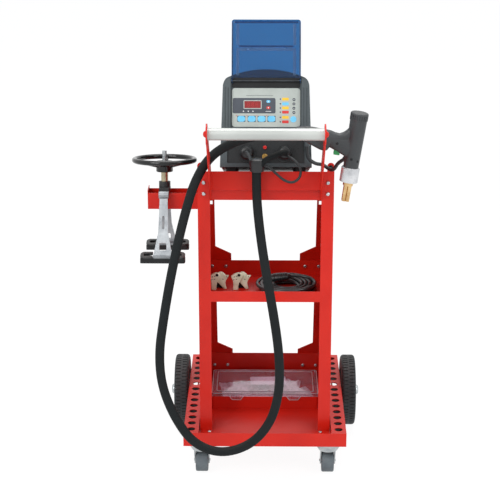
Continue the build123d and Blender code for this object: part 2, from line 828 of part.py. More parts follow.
# Welder feet, inner parts and rear panel
foot_x = 105.0
foot_front = 45.0
foot_back = 280.0
foot_size = 34.0
switch_x = 70.0
switch_z = 200.0
switch_width = 22.0
switch_height = 30.0
switch_gap = 0.3
gland_x = -60.0
gland_z = 60.0
inside_floor = foot_height + 2 * case_wall
core_width = 160.0
core_depth = 120.0
core_height = 130.0
core_front = 130.0
winding_width = 110.0
winding_height = 80.0
winding_reach = 18.0
board_width = 170.0
board_thickness = 2.0
board_margin = 6.0
pillar_length = 8.0
pillar_inset = 10.0
pillar_radius = 4.0


def welder_feet():
    feet = []
    for x in (-foot_x, foot_x):
        for y in (foot_front, foot_back):
            pad = Pos(x, y) * RectangleRounded(foot_size, foot_size, 6.0)
            feet.append(deck * extrude(pad, foot_height + (case_wall if y > bezel_back else 0)))
    return feet


def rear_panel():
    """Rear plate with a louvred vent, the switch opening and the mains gland."""
    panel = along_y(case_outline(case_wall, case_crown), case_back, case_back + rear_plate)
    for i in range(6):
        z = 90.0 + 14.0 * i
        panel -= block(-90.0, 10.0, case_back - 1, case_back + rear_plate + 1, z, z + 6.0)
    panel -= block(switch_x - switch_width / 2 - switch_gap,
                   switch_x + switch_width / 2 + switch_gap, case_back - 1,
                   case_back + rear_plate + 1, switch_z - switch_height / 2 - 3.0, switch_z + switch_height / 2 + 3.0)
    gland_y = case_back + rear_plate
    gland = rod((gland_x, gland_y - 1, gland_z), (gland_x, gland_y + 8.0, gland_z), 15.0)
    gland += rod((gland_x, gland_y + 8.0, gland_z), (gland_x, gland_y + 22.0, gland_z), 11.0)
    gland -= rod((gland_x, gland_y + 2.0, gland_z), (gland_x, gland_y + 23.0, gland_z), 6.0)
    pivot_y = case_back + rear_plate / 2
    panel -= rod((switch_x - 16.0, pivot_y, switch_z), (switch_x + 16.0, pivot_y, switch_z),
                 1.5 + running_clearance)
    return deck * (panel + gland)


def power_switch():
    """Rocker on a cross pin, tipped to off."""
    pivot_y = case_back + rear_plate / 2
    half = switch_height / 2
    rocker = side_plate([(-3.0, -half), (3.0, -half), (7.0, -half + 2.0), (5.0, 0),
                         (7.0, half - 2.0), (3.0, half),
                         (-3.0, half)], -switch_width / 2, switch_width / 2)
    pin = rod((-14.0, 0, 0), (14.0, 0, 0), 1.5)
    return deck * Pos(switch_x, pivot_y, switch_z) * (rocker + pin)


def transformer():
    """Laminated core with two windings, on the case floor."""
    back = core_front + core_depth
    core = block(-core_width / 2, core_width / 2, core_front, back, inside_floor,
                 inside_floor + core_height)
    low = inside_floor + (core_height - winding_height) / 2
    windings = block(-winding_width / 2, winding_width / 2, core_front - winding_reach,
                     back + winding_reach, low,
                     low + winding_height)
    return deck * (core + windings)


def control_board():
    """Circuit board on four pillars behind the control panel."""
    y = bezel_front + recess_depth + 6.0
    far = y + pillar_length
    half = board_width / 2
    board = block(-half, half, far, far + board_thickness, panel_low + board_margin,
                  panel_high - board_margin)
    for x in (-half + pillar_inset, half - pillar_inset):
        for z in (panel_low + board_margin + pillar_inset, panel_high - board_margin - pillar_inset):
            board += rod((x, y, z), (x, far + board_thickness / 2, z), pillar_radius)
    return deck * board


nodes["welder_feet"] = welder_feet()
nodes["rear_panel"] = rear_panel()
nodes["power_switch"] = power_switch()
nodes["transformer"] = transformer()
nodes["control_board"] = control_board()

# Spot gun: barrel with a cap, collar and electrode; its grip lies over the right handle bracket
gun_x = 260.0
gun_y = -402.5
gun_tilt = 8.0
barrel_radius = 25.0
barrel_low_radius = 22.5
barrel_top = 62.0
barrel_low = -80.0
cap_top = 84.0
collar_low = -124.0
collar_radius = 27.0
electrode_low = -184.0
grip_stations = [(-6.0, -24.0, 36.0, 19.0), (-50.0, -12.0, 27.0, 18.5), (-96.0, -1.0, 21.5, 18.0),
                 (-150.0, 5.0, 17.0, 16.0)]
grip_blend = 10.0
trigger_x = -48.0
trigger_travel = 4.0
trigger_length = 18.0
trigger_width = 12.0
trigger_top = -30.0
trigger_low = -50.0
hose_radius = 14.0
side_cable_radius = 5.5
# The grip's oval section rests on the slanted upper edge of the right handle bracket
seat_half_height = 21.5
seat_half_depth = 18.0
grip_drop = 9.13
edge_at_gun = edge_foot + (post_front - gun_y) * edge_slope
seat_rise = sqrt((seat_half_depth * edge_slope) ** 2 + seat_half_height ** 2)
gun_z = edge_at_gun + seat_rise - grip_drop
gun = Pos(gun_x, gun_y, gun_z) * Rot(0, gun_tilt, 0)


def from_point(start, direction, length):
    """Point at a distance from another, along a direction."""
    spot = Vector(*start) + Vector(*direction).normalized() * length
    return (spot.X, spot.Y, spot.Z)


def on_gun(x, y, z):
    """World position of a point given in the gun's frame."""
    spot = (gun * Pos(x, y, z)).position
    return (spot.X, spot.Y, spot.Z)


# The hose leaves the grip level, and the side cable leaves the barrel down and back
grip_end = on_gun(-148.0, 0, 5.0)
hose_aim = (-1.0, 0, -0.08)
hose_end = from_point(grip_end, hose_aim, 24.0)
hose_lead = from_point(hose_end, hose_aim, 58.0)
boot_root = on_gun(0, 0, barrel_low + 35.0)
cable_aim = (-0.62, 0.62, -0.48)
cable_end = from_point(boot_root, cable_aim, 36.0)
cable_lead = from_point(cable_end, cable_aim, 28.0)


def gun_body():
    half = Polyline((0, barrel_low), (barrel_low_radius, barrel_low), (barrel_radius, barrel_top),
                    (0, barrel_top), close=True)
    barrel = revolve(Plane.XZ * make_face(half), Axis.Z)
    sections = []
    for x, z, half_height, half_depth in grip_stations:
        plane = Plane((x, 0, z), x_dir=(0, 1, 0), z_dir=(-1, 0, 0))
        sections.append(plane * Ellipse(half_depth, half_height))
    grip = loft(sections)
    body = barrel + grip
    body = fillet(body.edges().filter_by(GeomType.BSPLINE).sort_by(Axis.X)[-1], grip_blend)
    half_x = trigger_length / 2 + switch_gap
    half_y = trigger_width / 2 + switch_gap
    pocket_top = trigger_top + trigger_travel + 1.0
    body -= block(trigger_x - half_x, trigger_x + half_x, -half_y, half_y, trigger_low - 30.0, pocket_top)
    relief = rod(grip_end, hose_end, hose_radius + 3.0)
    return gun * body + relief + rod(boot_root, cable_end, side_cable_radius + 3.0)


def gun_cap():
    """Ribbed end cap."""
    cap = rod((0, 0, barrel_top), (0, 0, cap_top), barrel_radius + 1.5)
    cap = fillet(cap.faces().sort_by(Axis.Z)[-1].edges(), 4.0)
    for i in range(24):
        cap -= Rot(0, 0, 15 * i) * block(barrel_radius, barrel_radius + 4.0, -1.2, 1.2,
                                         barrel_top + 2.0, cap_top - 6.0)
    return gun * cap


def gun_collar():
    collar = rod((0, 0, collar_low), (0, 0, barrel_low), collar_radius)
    return gun * chamfer(collar.faces().sort_by(Axis.Z)[-1].edges(), 3.0)


def gun_electrode():
    """Copper finger electrode: a holder with a bundle of bars."""
    bars = []
    for i in range(4):
        turn = radians(90 * i + 45)
        bars.append(rod((8.2 * cos(turn), 8.2 * sin(turn), collar_low - 2.0), (7.4 * cos(turn),
                                                                               7.4 * sin(turn), electrode_low),
                        6.0))
    holder = rod((0, 0, collar_low - 12.0), (0, 0, collar_low), 15.0)
    return gun * (holder + bars)


def gun_trigger():
    half = trigger_length / 2
    button = block(trigger_x - half, trigger_x + half, -trigger_width / 2, trigger_width / 2,
                   trigger_low, trigger_top)
    return gun * fillet(button.faces().sort_by(Axis.Z)[0].edges(), 3.0)


nodes["gun_body"] = gun_body()
nodes["gun_cap"] = gun_cap()
nodes["gun_collar"] = gun_collar()
nodes["gun_electrode"] = gun_electrode()
nodes["gun_trigger"] = gun_trigger()

# Organiser case on the base floor, with a clear hinged lid
organiser_width = 356.0
organiser_depth = 200.0
organiser_front = -96.0
organiser_base = 45.0
organiser_lid = 10.0
organiser_wall = 2.5
organiser_corner = 8.0
lid_gap = 0.3
lid_pin_radius = 2.0
knuckle_radius = 4.5
knuckle_inner = 20.0
knuckle_outer = 110.0
lug_length = 10.0
latch_x = 95.0
organiser_top = floor_height + organiser_base
organiser_rear = organiser_front + organiser_depth
lid_hinge_y = organiser_rear + knuckle_radius + lid_gap
lid_hinge_z = organiser_top + lid_gap + knuckle_radius / 2


def organiser_slab(inset, z0, z1, corner=organiser_corner):
    outline = RectangleRounded(organiser_width - 2 * inset, organiser_depth - 2 * inset, corner)
    return Pos(0, (organiser_front + organiser_rear) / 2, z0) * extrude(outline, z1 - z0)


def case_base():
    box = organiser_slab(0, floor_height, organiser_top)
    box -= organiser_slab(organiser_wall, floor_height + organiser_wall, organiser_top + 1)
    for i in (-1, 0, 1):
        x = i * (knuckle_outer + lug_length)
        box += block(x - lug_length / 2, x + lug_length / 2, organiser_rear - 1,
                     lid_hinge_y + knuckle_radius - 1,
                     lid_hinge_z - knuckle_radius, lid_hinge_z + knuckle_radius - 1)
    reach = knuckle_outer + lug_length
    return box + rod((-reach, lid_hinge_y, lid_hinge_z), (reach, lid_hinge_y, lid_hinge_z),
                     lid_pin_radius)


def case_lid():
    z0 = organiser_top + lid_gap
    lid = organiser_slab(0, z0, z0 + organiser_lid)
    lid -= organiser_slab(organiser_wall, z0 - 1, z0 + organiser_lid - organiser_wall)
    raised = organiser_slab(16.0, z0 + organiser_lid - organiser_wall, z0 + organiser_lid + 1.5)
    lid += raised
    for i in (-1, 0, 1):
        x = i * (knuckle_outer + lug_length)
        lid -= block(x - lug_length, x + lug_length, organiser_rear - 6.0, organiser_rear + 10.0,
                     z0 - 1, z0 + 20.0)
    for side in (-1, 1):
        x0 = min(side * knuckle_inner, side * knuckle_outer)
        x1 = x0 + knuckle_outer - knuckle_inner
        lid += block(x0, x1, organiser_rear - 1, lid_hinge_y, lid_hinge_z - 1,
                     lid_hinge_z + knuckle_radius)
        lid += rod((x0, lid_hinge_y, lid_hinge_z), (x1, lid_hinge_y, lid_hinge_z), knuckle_radius)
        latch = Polyline((-26.0, 0), (26.0, 0), (15.0, -16.0), (-15.0, -16.0), close=True)
        plane = Plane((side * latch_x, organiser_front - lid_gap, z0 + 4.0), x_dir=(1, 0, 0),
                      z_dir=(0, -1, 0))
        lid += extrude(plane * make_face(latch), organiser_wall)
        lid += block(side * latch_x - 26.0, side * latch_x + 26.0,
                     organiser_front - lid_gap - organiser_wall,
                     organiser_front + 1, z0 + 1.0, z0 + 4.0)
    return lid - rod((-knuckle_outer - 1, lid_hinge_y, lid_hinge_z), (knuckle_outer + 1,
                                                                      lid_hinge_y, lid_hinge_z),
                     lid_pin_radius + running_clearance)


nodes["case_base"] = case_base()
nodes["case_lid"] = case_lid()

# Two cast earth clamps standing on the shelf
clamp_xs = (-148.0, -78.0)
clamp_y = -165.0
clamp_width = 64.0
clamp_height = 58.0
clamp_depth = 22.0
clamp_waist = 0.72
clamp_throat = 9.0
clamp_eye = 5.5


def earth_clamp(x):
    """Cast clamp: flared jaws over a narrow waist, two splayed legs and a pressure screw through the crown."""
    half = clamp_width / 2
    waist = half * clamp_waist
    right = [(clamp_throat, 0), (half * 0.86, 0), (half * 0.94, clamp_height * 0.24),
             (waist, clamp_height * 0.52),
             (half, clamp_height * 0.78), (half * 0.86, clamp_height * 0.92), (half * 0.4, clamp_height)]
    left = [(-px, pz) for px, pz in reversed(right)]
    notch = [(-clamp_throat * 0.55, clamp_height * 0.26), (0, clamp_height * 0.38),
             (clamp_throat * 0.55, clamp_height * 0.26)]
    face = make_face(Polyline(*right, *left, *notch, close=True))
    face -= Pos(0, clamp_height * 0.74) * Circle(clamp_eye)
    solid = Pos(x, clamp_y, shelf_floor) * along_y(face, 0, clamp_depth)
    crown = shelf_floor + clamp_height
    screw_y = clamp_y + clamp_depth / 2
    solid += rod((x, screw_y, crown - 6.0), (x, screw_y, crown + 9.0), 5.0)
    return solid + rod((x - 10.0, screw_y, crown + 6.0), (x + 10.0, screw_y, crown + 6.0), 3.0)


nodes["earth_clamps"] = [earth_clamp(x) for x in clamp_xs]

# Plug loom: two power plugs whose short leads join in one boot at the hose's upper end
plug_radius = 21.5
plug_front = -16.0
boot_top = 1058.0
hose_top = 1032.0
hose_x = -28.0
hose_y = -302.0
lead_radius = 9.0


def on_deck(x, y, z):
    """World position of a point given in the platform's frame."""
    spot = (deck * Pos(x, y, z)).position
    return (spot.X, spot.Y, spot.Z)


def cable_plugs():
    loom = rod((hose_x, hose_y, hose_top), (hose_x, hose_y, boot_top), hose_radius + 4.0)
    loom += Pos(hose_x, hose_y, boot_top) * Sphere(hose_radius + 4.0)
    for side in (-1, 1):
        x = side * socket_x
        loom += rod(on_deck(x, plug_front, socket_z), on_deck(x, plate_face, socket_z), plug_radius)
        elbow = on_deck(x, plug_front - 14.0, socket_z)
        loom += rod(elbow, on_deck(x, plug_front + 1, socket_z), plug_radius - 5.0)
        loom += Pos(*elbow) * Sphere(lead_radius + 3.0)
        loom += rod(elbow, (hose_x, hose_y, boot_top - 6.0), lead_radius)
    return loom


nodes["cable_plugs"] = cable_plugs()

# Free cords: straight runs joined by arcs as large as the runs allow
hose_route = [
    (hose_x, hose_y, hose_top), (hose_x, hose_y, 988), (-26, -326, 928), (-14, -370, 832), (4, -404, 726),
    (26, -430, 610), (43, -447, 490), (45, -458, 380), (20, -462, 275), (-42, -463, 197), (-135,
                                                                                           -463, 166),
    (-220, -462, 200), (-276, -460, 285), (-315, -456, 390), (-323, -447, 495), (-310, -434, 600),
    (-292, -415, 720), (-272, -390, 840), (-254, -362, 935), (-228, -334, 1016), (-182, -316, 1083),
    (-114, -340, 1130), (-42, -376, 1155),
]
loop_radius = 4.0
gland_x_front = 124.0
gland_y_front = -248.0
gland_low = 1092.0
gland_high = 1112.0
hose_route += [hose_lead, hose_end]
side_cable_route = [
    (gland_x_front, gland_y_front, gland_low), (gland_x_front, gland_y_front, 1068), (132, -255, 1050),
    (152, -264, 1040), (172, -272, 1041), (189, -291, 1032), (203, -323, 1036), cable_lead, cable_end,
]
loop_route = [
    (56, -272, 1070), (72, -292, 1069), (92, -308, 1058), (106, -315, 1036), (102, -318, 1010), (80,
                                                                                                 -319, 995),
    (54, -318, 1003), (33, -315, 1022), (12, -309, 1040), (-8, -304, 1050),
]


def bend_radii(points):
    """One radius for each corner: 0.45 of the shorter run over the tangent of half the turn."""
    radii = []
    for before, here, after in zip(points, points[1:], points[2:]):
        first = Vector(*here) - Vector(*before)
        second = Vector(*after) - Vector(*here)
        half_turn = radians(first.get_angle(second)) / 2
        radii.append(0.45 * min(first.length, second.length) / tan(half_turn))
    return radii


def cord_tube(name, points, radius):
    radii = bend_radii(points)
    path = FilletPolyline(*points, radius=radii)
    start = Plane(path @ 0, z_dir=path % 0)
    solid = sweep(start * Circle(radius), path=path)
    expected = pi * radius ** 2 * path.length
    print(name, "length", round(path.length), "least bend", round(min(radii)), "volume share",
          round(solid.volume / expected, 4))
    return solid


nodes["gun_hose"] = cord_tube("gun_hose", hose_route, hose_radius)
nodes["gun_side_cable"] = cord_tube("gun_side_cable", side_cable_route, side_cable_radius)
nodes["control_cable_loop"] = cord_tube("control_cable_loop", loop_route, loop_radius)

# Earth lead: wound in two flat layers on the shelf, its end climbing over the coil to a plug in the middle
lead_diameter = 11.0
lead_step = 13.4
layer_step = 12.2
coil_x = 68.0
coil_y = -150.0
coil_outer = 94.0
coil_turns = 4
coil_low = shelf_floor + lead_diameter / 2 + 0.2
arcs_per_turn = 4


def coil_radius(turn):
    """Radius after a number of turns: in over the lower layer, half a turn steady, then out again."""
    inner = coil_outer - coil_turns * lead_step
    if turn < coil_turns:
        return coil_outer - turn * lead_step
    if turn < coil_turns + 0.5:
        return inner
    return inner + (turn - coil_turns - 0.5) * lead_step


def coil_point(turn):
    """Point of the lead's centre line after a number of turns."""
    climb = min(max((turn - coil_turns) / 0.5, 0.0), 1.0)
    last = 2 * coil_turns + 0.5
    rise = min(max((turn - last) / 0.5, 0.0), 1.0)
    level = (1 - cos(pi * climb)) / 2 + (1 - cos(pi * rise)) / 2
    r = coil_radius(turn)
    angle = 2 * pi * turn + coil_start
    return Vector(coil_x + r * cos(angle), coil_y + r * sin(angle), coil_low + level * layer_step)


coil_start = radians(-40)


def heading(turn):
    step = 0.0005
    return (coil_point(turn + step) - coil_point(turn - step)).normalized()


def biarc(p0, t0, p1, t1):
    """Two tangent arcs from one point and heading to another."""
    chord = p1 - p0
    both = t0 + t1
    spread = 2 * (1 - t0.dot(t1))
    along = chord.dot(both)
    reach = (sqrt(along ** 2 + spread * chord.dot(chord)) - along) / spread
    middle = (p0 + p1 + (t0 - t1) * reach) / 2
    bend = (p1 - t1 * reach) - (p0 + t0 * reach)
    return [Edge.make_tangent_arc(p0, t0, middle), Edge.make_tangent_arc(middle, bend.normalized(), p1)]


tail_radius = 52.0
tail_turn = 150.0
tail_steps = 3
tail_rise = 7.8


def coil_stations():
    """Points and headings along the wound lead, then along its tail over the coil."""
    total = 2 * coil_turns + 1.0
    count = int(total * arcs_per_turn)
    stations = [(coil_point(total * i / count), heading(total * i / count)) for i in range(count + 1)]
    end, ahead = stations[-1]
    flat = Vector(ahead.X, ahead.Y, 0).normalized()
    inward = Vector(-flat.Y, flat.X, 0)
    centre = end + inward * tail_radius
    for i in range(1, tail_steps + 1):
        turn = radians(tail_turn * i / tail_steps)
        rise = tail_rise * (1 - cos(pi * i / tail_steps)) / 2
        slope = tail_rise * sin(pi * i / tail_steps) * pi / 2 / (radians(tail_turn) * tail_radius)
        spot = centre - inward * tail_radius * cos(turn) + flat * tail_radius * sin(turn)
        aim = flat * cos(turn) + inward * sin(turn)
        stations.append((spot + Vector(0, 0, rise), (aim + Vector(0, 0, slope)).normalized()))
    return stations


def least_self_gap(stations):
    """Least gap between turns of the wound lead, measured on points of its centre line."""
    steps = 48
    total = 2 * coil_turns + 1.0
    count = int(total * steps)
    points = [tuple(coil_point(total * i / count)) for i in range(count + 1)]
    points += [tuple(spot) for spot, ahead in stations[-tail_steps:]]
    best = coil_outer
    for i, a in enumerate(points):
        for b in points[i + steps // 2:]:
            gap = (a[0] - b[0]) ** 2 + (a[1] - b[1]) ** 2 + (a[2] - b[2]) ** 2
            best = min(best, sqrt(gap))
    return best - lead_diameter


def earth_lead(stations):
    first, first_aim = stations[0]
    last, last_aim = stations[-1]
    edges = [Edge.make_line(first - first_aim * lead_diameter, first)]
    for (p0, t0), (p1, t1) in zip(stations, stations[1:]):
        edges += biarc(p0, t0, p1, t1)
    edges.append(Edge.make_line(last, last + last_aim * lead_diameter))
    path = Wire(edges)
    print("earth_lead_coil length", round(path.length), "least gap to itself",
          round(least_self_gap(stations), 2))
    return sweep(Plane(path @ 0, z_dir=path % 0) * Circle(lead_diameter / 2), path=path)


plug_length = 70.0
plug_body_radius = 14.0
lug_barrel = 14.0
lug_plate = 26.0


def earth_ends(stations):
    """Round plug on top of the coil, and the brass lug at the lead's other end."""
    last, aim = stations[-1]
    start = last + aim * lead_diameter
    end = start + aim * plug_length
    plug = rod(tuple(start), tuple(end), plug_body_radius)
    for share in (0.25, 0.4, 0.55):
        a = start + aim * plug_length * share
        plug -= tube(tuple(a), tuple(a + aim * 4.0), plug_body_radius + 1.0, plug_body_radius - 2.0)
    first, out = stations[0]
    back = first - out * lead_diameter
    lug = rod(tuple(back - out * lug_barrel), tuple(back), lead_diameter / 2)
    plane = Plane(back - out * lug_barrel, x_dir=out * -1, z_dir=(0, 0, 1))
    lug += plane * block(-2.0, lug_plate, -6.0, 6.0, -1.5, 1.5)
    lug -= plane * Pos(lug_plate - 8.0, 0, 0) * Cylinder(3.2, 10.0)
    return [plug, lug]


coil_path = coil_stations()
nodes["earth_lead_coil"] = earth_lead(coil_path)
nodes["earth_plug"] = earth_ends(coil_path)

# Cable gland on the bezel for the gun's side cable, fused with the socket plate's moulding
gland_radius = 8.0
gland = rod((gland_x_front, gland_y_front, gland_low), (gland_x_front, gland_y_front, gland_high),
            gland_radius)
gland += rod((gland_x_front, gland_y_front, gland_high - gland_radius), (gland_x_front,
                                                                         gland_y_front + 34.0,
                                                                         gland_high - gland_radius), 6.0)
nodes["front_bezel"] += gland

# Frame bolts: dome heads with shanks through the sheets that they hold
bolt_x = frame_half_width - post_flange / 2
gusset_bolt_xs = (130.0, 175.0)
gusset_bolt_drop = 20.0
back_bolt_drop = 44.0
foot_bolt_inset = 8.0
foot_bolt_offset = 9.0
head_height = 4.0


def bolt(spot, out, grip):
    """Dome head outside the sheet and a shank through it."""
    place = Plane(spot, z_dir=out)
    head = extrude(Circle(bolt_head / 2), head_height)
    head = fillet(head.faces().sort_by(Axis.Z)[-1].edges(), head_height * 0.7)
    return place * (head + Pos(0, 0, -grip / 2) * Cylinder(bolt_diameter / 2, grip))


def bolt_places():
    """Each bolt's seat, outward direction, grip and the sheets that it goes through."""
    places = []
    for side, word in ((-1, "left"), (1, "right")):
        panel = word + "_side_panel"
        for z in (bolt_low, bolt_high):
            places.append(((side * bolt_x, post_front, z), (0, -1, 0), sheet + bracket_thickness,
                           [panel, word + "_handle_bracket"]))
        for x in gusset_bolt_xs:
            z = shelf_floor + shelf_back_lip - gusset_bolt_drop
            gap = rear_edge(z) - shelf_back
            places.append(((side * x, shelf_back - sheet, z), (0, -1, 0), sheet + gap,
                           [panel, "mid_shelf"]))
            z = back_panel_top - back_bolt_drop
            gap = rear_edge(z) - panel_back
            places.append(((side * x, panel_back - sheet, z), (0, -1, 0), sheet + gap,
                           [panel, "lower_back_panel"]))
        for offset in (-foot_bolt_offset, foot_bolt_offset):
            x = side * (frame_half_width - post_flange + foot_bolt_inset)
            places.append(((x, post_front + offset, floor_height + sheet), (0, 0, 1), 2 * sheet,
                           [panel, "base_tray"]))
    return places


bolts = []
for spot, out, grip, sheets in bolt_places():
    piece = bolt(spot, out, grip)
    bolts.append(piece)
    for name in sheets:
        nodes[name] -= piece
nodes["frame_bolts"] = bolts

for name, piece in nodes.items():
    solid = Compound(children=piece) if isinstance(piece, list) else piece
    solid.label = name
    export_step(solid, os.path.join(out_dir, name + ".step"))
print(len(nodes), "nodes")
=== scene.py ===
# %% [markdown]
# # A dent pulling welder on its trolley
# The real object is a spot welder that pulls dents out of car panels. It stands on a red sheet-metal trolley with a
# shelf, a tool base, a hose and gun, a hand-cranked puller and a coil of earth lead. The construction comes in as a
# finished model in metres. This lesson gives it a camera, light, cords, finishes and the small parts on top.

# %% Load the frame
import json
import math

import bpy
from mathutils import Matrix, Vector


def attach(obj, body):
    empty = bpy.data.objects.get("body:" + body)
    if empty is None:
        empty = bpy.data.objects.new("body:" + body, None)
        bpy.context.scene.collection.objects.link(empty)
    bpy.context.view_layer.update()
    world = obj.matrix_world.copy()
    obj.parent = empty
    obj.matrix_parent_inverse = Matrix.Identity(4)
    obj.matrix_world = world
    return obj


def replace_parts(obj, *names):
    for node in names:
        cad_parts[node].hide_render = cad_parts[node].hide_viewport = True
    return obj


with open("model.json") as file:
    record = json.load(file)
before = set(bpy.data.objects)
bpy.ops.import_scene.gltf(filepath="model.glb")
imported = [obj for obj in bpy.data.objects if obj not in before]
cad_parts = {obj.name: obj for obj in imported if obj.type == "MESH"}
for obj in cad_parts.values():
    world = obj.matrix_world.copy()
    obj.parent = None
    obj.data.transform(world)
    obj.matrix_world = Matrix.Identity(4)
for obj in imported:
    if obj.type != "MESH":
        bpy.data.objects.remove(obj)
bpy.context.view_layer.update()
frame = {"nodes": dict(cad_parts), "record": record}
nodes = frame["nodes"]
bpy.ops.object.select_all(action="DESELECT")

# %% [markdown]
# ## Camera
# The photograph looks down on the machine from the front, from more than four metres away with a long lens, so edges
# that run away from us hardly shrink. The camera stands on the machine's centre line and aims a little to the left,
# because the machine stands right of the middle of the picture.

# %% Place the camera
AIM = Vector((-0.048, -0.262, 0.764))
LOOK_DOWN = math.radians(18.5)
DISTANCE = 4.45
FOCAL_PIXELS, PICTURE_PIXELS = 1440.0, 500.0
SENSOR = 36.0
back = Vector((0.0, -math.cos(LOOK_DOWN), math.sin(LOOK_DOWN)))
eye = AIM + back * DISTANCE
eye.x = 0.0
bpy.ops.object.camera_add(location=eye, rotation=(AIM - eye).to_track_quat("-Z", "Y").to_euler())
camera = bpy.context.object
camera.data.sensor_width = SENSOR
camera.data.lens = FOCAL_PIXELS / PICTURE_PIXELS * SENSOR
camera.data.clip_end = 200.0
bpy.context.scene.camera = camera
bpy.context.scene.view_settings.view_transform = "Standard"
print("camera", [round(v, 3) for v in eye], "lens", round(camera.data.lens, 1))

# %% [markdown]
# ## Wiring of shader nodes
# A world or a material is a tree of small nodes, each feeding the next. In the node editor they are dragged in and
# linked by hand. The same few moves come back in every tree, so they get short helpers: feed an input with a value or
# a link, add a node with its inputs fed, reckon with numbers, and blend two colours.

# %% Node helpers


def feed(tree, socket, source):
    """Give an input a plain value, or link it to another node's output."""
    if isinstance(source, bpy.types.NodeSocket):
        tree.links.new(source, socket)
    else:
        socket.default_value = source


def feed_all(tree, node, **sources):
    """Feed a node's inputs by name; an underscore stands for a space."""
    for title, source in sources.items():
        feed(tree, node.inputs[title.replace("_", " ")], source)
    return node


def add_node(tree, kind, **sources):
    """New node of a kind, its inputs fed by name."""
    return feed_all(tree, tree.nodes.new("ShaderNode" + kind), **sources)


def reckon(tree, operation, *terms):
    """Math node on numbers or outputs."""
    node = tree.nodes.new("ShaderNodeMath")
    node.operation = operation
    for socket, term in zip(node.inputs, terms):
        feed(tree, socket, term)
    return node.outputs[0]


def blend(tree, mask, first, second):
    """Mix node on two colours."""
    node = tree.nodes.new("ShaderNodeMix")
    node.data_type = "RGBA"
    return feed_all(tree, node, Factor=mask, A=first, B=second).outputs["Result"]


print("node helpers ready")

# %% [markdown]
# ## White world
# The picture was taken before white paper. A plain white world would also light the machine from all sides and wash
# it out, so a mask splits it: the world is white wherever the camera, a reflection or a clear part sees it, and a
# dimmer, slightly blue sky for the light that it gives.

# %% White world
SKY_TINT, SKY_STRENGTH = (0.92, 0.96, 1.0, 1.0), 0.62
WHITE = (1.0, 1.0, 1.0, 1.0)


def seen_directly(tree):
    """Mask for rays that come from the camera, a reflection or a clear part."""
    rays = tree.nodes.new("ShaderNodeLightPath").outputs
    seen = reckon(tree, "MAXIMUM", rays["Is Camera Ray"], rays["Is Glossy Ray"])
    return reckon(tree, "MAXIMUM", seen, rays["Is Transmission Ray"])


def choose(tree, mask, first, second, output):
    """Mix two shaders by a mask and send them to the tree's output."""
    mix = tree.nodes.new("ShaderNodeMixShader")
    for socket, source in zip(mix.inputs, (mask, first.outputs[0], second.outputs[0])):
        feed(tree, socket, source)
    add_node(tree, output, Surface=mix.outputs[0])


world = bpy.data.worlds.new("studio")
world.use_nodes = True
bpy.context.scene.world = world
tree = world.node_tree
tree.nodes.clear()
sky = add_node(tree, "Background", Color=SKY_TINT, Strength=SKY_STRENGTH)
backdrop = add_node(tree, "Background", Color=WHITE, Strength=1.0)
choose(tree, seen_directly(tree), sky, backdrop, "OutputWorld")
print("world", world.name)

# %% [markdown]
# ## Floor
# The paper lies under the machine too and catches a faint shadow. A wide plane is enough for it. The same mask splits
# its shader: mostly a glow where it is seen, so that it stays white, with a matte rest that takes the shadow.

# %% Pale floor
FLOOR_SIZE = 60.0
PAPER = (0.92, 0.92, 0.92, 1.0)
GLOW_STRENGTH, GLOW_SHARE = 1.06, 0.88
bpy.ops.mesh.primitive_plane_add(size=FLOOR_SIZE, location=(0.0, 0.0, 0.0))
floor = bpy.context.object
floor.name = "studio_floor"
paper = bpy.data.materials.new("studio_paper")
paper.use_nodes = True
tree = paper.node_tree
tree.nodes.clear()
matte = add_node(tree, "BsdfDiffuse", Color=PAPER)
glow = add_node(tree, "Emission", Strength=GLOW_STRENGTH)
choose(tree, reckon(tree, "MULTIPLY", seen_directly(tree), GLOW_SHARE), matte, glow, "OutputMaterial")
floor.data.materials.append(paper)
print("floor", [round(v, 1) for v in floor.dimensions])

# %% [markdown]
# ## Lamps
# A catalogue picture has plain, even light. Three wide area lamps give it: the main one from the left, a weaker one
# from the right that fills the shadows, and one from above.

# %% Soft lamps
LAMP_AIM = Vector((0.0, -0.2, 0.75))
LAMPS = {"key_lamp": ((-2.4, -3.2, 3.4), 2.2, 105.0), "fill_lamp": ((3.0, -2.6, 2.2), 2.4, 55.0),
         "top_lamp": ((0.2, 0.6, 4.2), 2.6, 60.0)}
for name, (place, size, energy) in LAMPS.items():
    bpy.ops.object.light_add(type="AREA", location=place)
    lamp = bpy.context.object
    lamp.name = name
    lamp.data.size = size
    lamp.data.energy = energy
    lamp.rotation_euler = (LAMP_AIM - Vector(place)).to_track_quat("-Z", "Y").to_euler()
bpy.ops.object.select_all(action="DESELECT")
print("lamps", len(LAMPS))

# %% [markdown]
# ## Effects that several finishes share
# Real surfaces are never one flat colour. Five small node groups are built once and used by the finishes: cloudy
# colour changes, fine grain for paint and moulded plastic, brushed streaks for metal, dust that settles on faces that
# look up, and the crossing threads of a sleeve. Each has named inputs, so a finish sets its own scale.

# %% Node groups for colour
COLOUR, NUMBER = "NodeSocketColor", "NodeSocketFloat"


def srgb(r, g, b):
    """Colour as a screen shows it (0 to 255) to the linear values that Blender uses."""
    def one(v):
        v = v / 255.0
        return v / 12.92 if v <= 0.04045 else ((v + 0.055) / 1.055) ** 2.4
    return (one(r), one(g), one(b), 1.0)


DUST_TONE = srgb(176, 170, 160)


def new_group(name, inputs, outputs):
    """Empty node group with its sockets; gives the group, the values it is given, and its result node."""
    group = bpy.data.node_groups.new(name, "ShaderNodeTree")
    for title, kind, value in inputs:
        socket = group.interface.new_socket(title, in_out="INPUT", socket_type=kind)
        socket.default_value = value
    for title, kind in outputs:
        group.interface.new_socket(title, in_out="OUTPUT", socket_type=kind)
    return group, group.nodes.new("NodeGroupInput").outputs, group.nodes.new("NodeGroupOutput")


